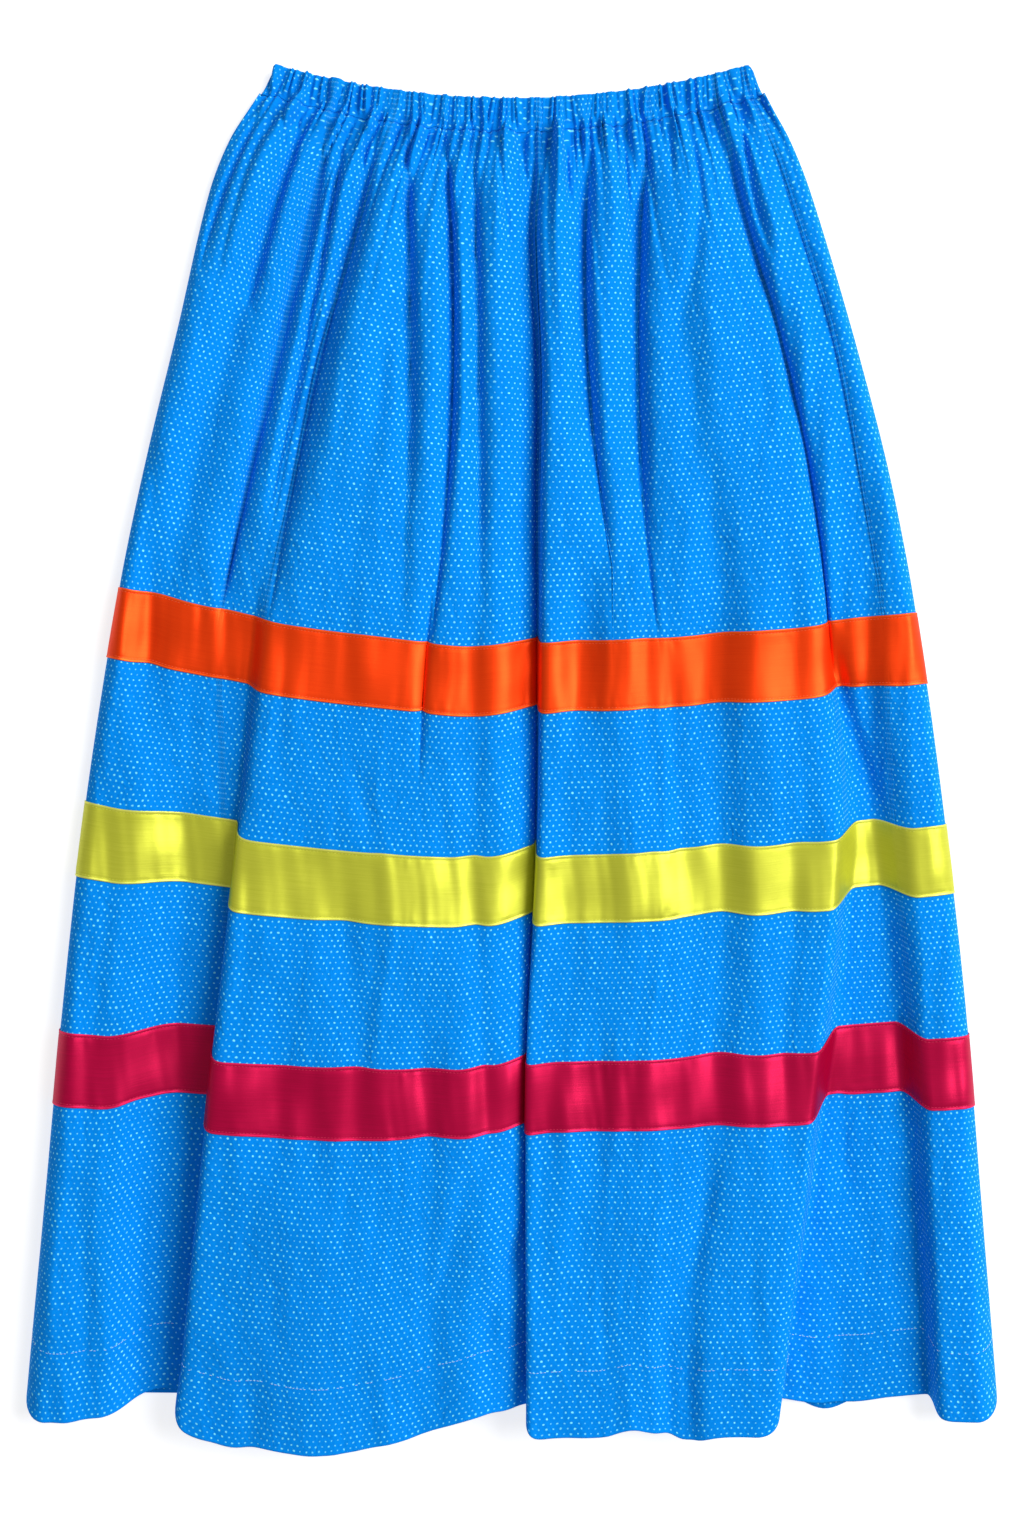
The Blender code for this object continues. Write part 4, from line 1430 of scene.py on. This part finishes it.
def stitch_tree():
    """The rule that turns a path into stitches, and the identifiers of its inputs."""
    tree = bpy.data.node_groups.new("machine_stitches", "GeometryNodeTree")
    sockets = {}
    for name, kind in STITCH_INPUTS:
        sockets[name] = tree.interface.new_socket(name=name, in_out="INPUT",
                                                  socket_type="NodeSocket" + kind)
    tree.interface.new_socket(name="Stitches", in_out="OUTPUT", socket_type="NodeSocketGeometry")
    given = add_node(tree, "NodeGroupInput").outputs
    line = add_node(tree, "GeometryNodeMeshToCurve", {"Mesh": given["Path"]})
    spaced_line = add_node(tree, "GeometryNodeResampleCurve",
                           {"Curve": line.outputs[0], "Length": given["Pitch"]}, mode="LENGTH")
    stitch = add_node(tree, "GeometryNodeMeshUVSphere", {"Segments": 6, "Rings": 4, "Radius": 0.5})
    direction = add_node(tree, "GeometryNodeInputTangent")
    turn = add_node(tree, "FunctionNodeAlignRotationToVector", {"Vector": direction.outputs[0]},
                    axis="X")
    size = add_node(tree, "ShaderNodeCombineXYZ",
                    {"X": given["Stitch Length"], "Y": given["Stitch Width"],
                     "Z": given["Stitch Width"]})
    showing = add_node(tree, "FunctionNodeRandomValue",
                       {"Probability": given["Showing Share"], "Seed": given["Seed"]},
                       data_type="BOOLEAN")
    row = add_node(tree, "GeometryNodeInstanceOnPoints",
                   {"Points": spaced_line.outputs[0], "Selection": showing.outputs[3],
                    "Instance": stitch.outputs[0], "Rotation": turn.outputs[0],
                    "Scale": size.outputs[0]})
    plain = add_node(tree, "GeometryNodeRealizeInstances", {"Geometry": row.outputs[0]})
    smooth = add_node(tree, "GeometryNodeSetShadeSmooth", {"Geometry": plain.outputs[0]})
    dyed = add_node(tree, "GeometryNodeSetMaterial",
                    {"Geometry": smooth.outputs[0], "Material": given["Thread"]})
    add_node(tree, "NodeGroupOutput", {0: dyed.outputs[0]})
    return tree, {name: socket.identifier for name, socket in sockets.items()}


machine_stitches, stitch_inputs = stitch_tree()
print("stitch tree:", len(machine_stitches.nodes), "nodes")


# %% Sewing along a path
def sew(name, paths, thread, pitch, length, width, showing, seed):
    """A piece of stitches along paths of points in millimetres."""
    points = []
    edges = []
    for path in paths:
        start = len(points)
        points.extend((np.asarray(path) * MM).tolist())
        edges.extend((start + i, start + i + 1) for i in range(len(path) - 1))
    mesh = bpy.data.meshes.new(name)
    mesh.from_pydata(points, edges, [])
    piece = link_object(name, mesh)
    rule = piece.modifiers.new("stitches", "NODES")
    rule.node_group = machine_stitches
    values = {"Pitch": pitch * MM, "Stitch Length": length * MM, "Stitch Width": width * MM,
              "Showing Share": showing, "Seed": seed, "Thread": thread}
    for key, value in values.items():
        rule[stitch_inputs[key]] = value
    graph = bpy.context.evaluated_depsgraph_get()
    plain = bpy.data.meshes.new_from_object(piece.evaluated_get(graph))
    piece.modifiers.clear()
    piece.data = plain
    plain.name = name
    print(name, len(plain.polygons), "faces")
    return piece


# %% Seams
THREAD_LIFT = 0.1
RIBBON_THREAD_LIFT = 0.02
BACK_THREAD_HEIGHT = 0.25
CASING_STITCH_DOWN = 0.9


def path_at(grid, rows, v, lift):
    """Points of a grid's section at v, moved out by lift."""
    normals = grid_normals(grid)
    place = float(np.interp(v, rows, np.arange(len(rows))))
    low = int(min(math.floor(place), len(rows) - 2))
    share = place - low
    points = grid[low] * (1 - share) + grid[low + 1] * share
    out = normals[low] * (1 - share) + normals[low + 1] * share
    return points + out * lift


hem_path = path_at(front_grid, V_ROWS, HEM_STITCH, THREAD_LIFT)[ends:-ends]
hem_back = path_at(back_under, BACK_ROWS, HEM_STITCH, 0)
hem_stitches = sew("hem_stitches", [hem_path, hem_back], threads["white"],
                   pitch=2.6, length=2.1, width=0.42, showing=0.66, seed=7)
casing_path = path_at(front_grid, V_ROWS, PANEL_TOP + CASING_STITCH_DOWN,
                      THREAD_LIFT)[ends:-ends]
casing_stitches = sew("casing_stitches", [casing_path], threads["blue"],
                      pitch=2.8, length=2, width=0.34, showing=0.55, seed=8)
ribbon_stitches = {}
for number, (colour, top) in enumerate(RIBBON_TOPS.items()):
    paths = []
    for across in (STITCH_INSET, RIBBON_WIDTH - STITCH_INSET):
        paths.append(path_at(ribbon_grids[colour], RIBBON_ACROSS, across,
                             RIBBON_THREAD_LIFT))
        paths.append(back_ribbon_line(top + across, BACK_THREAD_HEIGHT))
    ribbon_stitches[colour] = sew(colour + "_ribbon_stitches", paths, threads[colour],
                                  pitch=2.5, length=2, width=0.34, showing=0.95,
                                  seed=20 + number)

# %% [markdown]
# ## Dressing the pieces
# Each piece gets its material, rides on the skirt's one body and stands for its solid. The
# ribbons are 50 mm wide.

# %% Materials and bodies
pieces = [
    (waist_casing, "waistband", cotton, "cotton"),
    (front_panel, "front_panel", cotton, "cotton"),
    (back_panel, "back_panel", cotton, "cotton"),
]
for colour in RIBBON_TOPS:
    for side in ("front", "back"):
        pieces.append((ribbon_pieces[colour + "_" + side], "ribbon_" + colour + "_" + side,
                       satins[colour], colour + "_satin"))
for piece, node, material, slot in pieces:
    piece.data.materials.append(material)
    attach(piece, "root")
    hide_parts(node)
for piece, slot in [(hem_stitches, "cotton"), (casing_stitches, "cotton")] + [
        (ribbon_stitches[colour], colour + "_satin") for colour in RIBBON_TOPS]:
    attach(piece, "root")
print("dressed:", len(pieces), "pieces of cloth")

# %% [markdown]
# ## Floor, light and camera
# A near-white floor and two kinds of light: one broad soft light from the right and a little from
# the waist's side, at about 45 degrees, and an even pale fill all round. The skirt is seen
# straight from above.

# %% Floor
FLOOR_GLOW = 0.7
FLOOR_SIZE = 6
FLOOR_DROP = 0.0004
bpy.ops.mesh.primitive_plane_add(size=FLOOR_SIZE, location=(0, 0, -FLOOR_DROP))
floor = bpy.context.object
floor.name = "floor"
paper, tree = new_material("matt_white_paper")
set_surface(tree, {"Base Color": linear("#BEBEBE"), "Roughness": 0.9, "Specular IOR Level": 0.1,
                   "Emission Color": linear("#FFFFFF"), "Emission Strength": FLOOR_GLOW})
floor.data.materials.append(paper)
print("floor:", FLOOR_SIZE, "m square")

# %% Light
KEY_PLACE = (3.7, 1.4, 3.85)
KEY_SIZE = 3.5
KEY_POWER = 365
FILL = 0.37
key_data = bpy.data.lights.new("key", "AREA")
key_data.energy = KEY_POWER
key_data.shape = "SQUARE"
key_data.size = KEY_SIZE
key = link_object("key", key_data)
key.location = KEY_PLACE
key.rotation_euler = (-key.location).to_track_quat("-Z", "Y").to_euler()
world = bpy.data.worlds.new("pale_room")
bpy.context.scene.world = world
world.use_nodes = True
world.node_tree.nodes.clear()
air = add_node(world.node_tree, "ShaderNodeBackground",
               {"Color": linear("#FFFFFF"), "Strength": FILL})
add_node(world.node_tree, "ShaderNodeOutputWorld", {"Surface": air.outputs[0]})
print("key light:", KEY_POWER, "W,", KEY_SIZE, "m square; fill", FILL)

# %% Camera
CAMERA_PLACE = (0.0004, -0.0122, 1.5)
CAMERA_LENS = 48.8
SENSOR_WIDTH = 36
camera_data = bpy.data.cameras.new("camera")
camera_data.lens = CAMERA_LENS
camera_data.sensor_width = SENSOR_WIDTH
camera = link_object("camera", camera_data)
camera.location = CAMERA_PLACE
bpy.context.scene.camera = camera
bpy.context.scene.view_settings.view_transform = "Standard"
print("camera:", CAMERA_LENS, "mm lens,", CAMERA_PLACE[2], "m up")
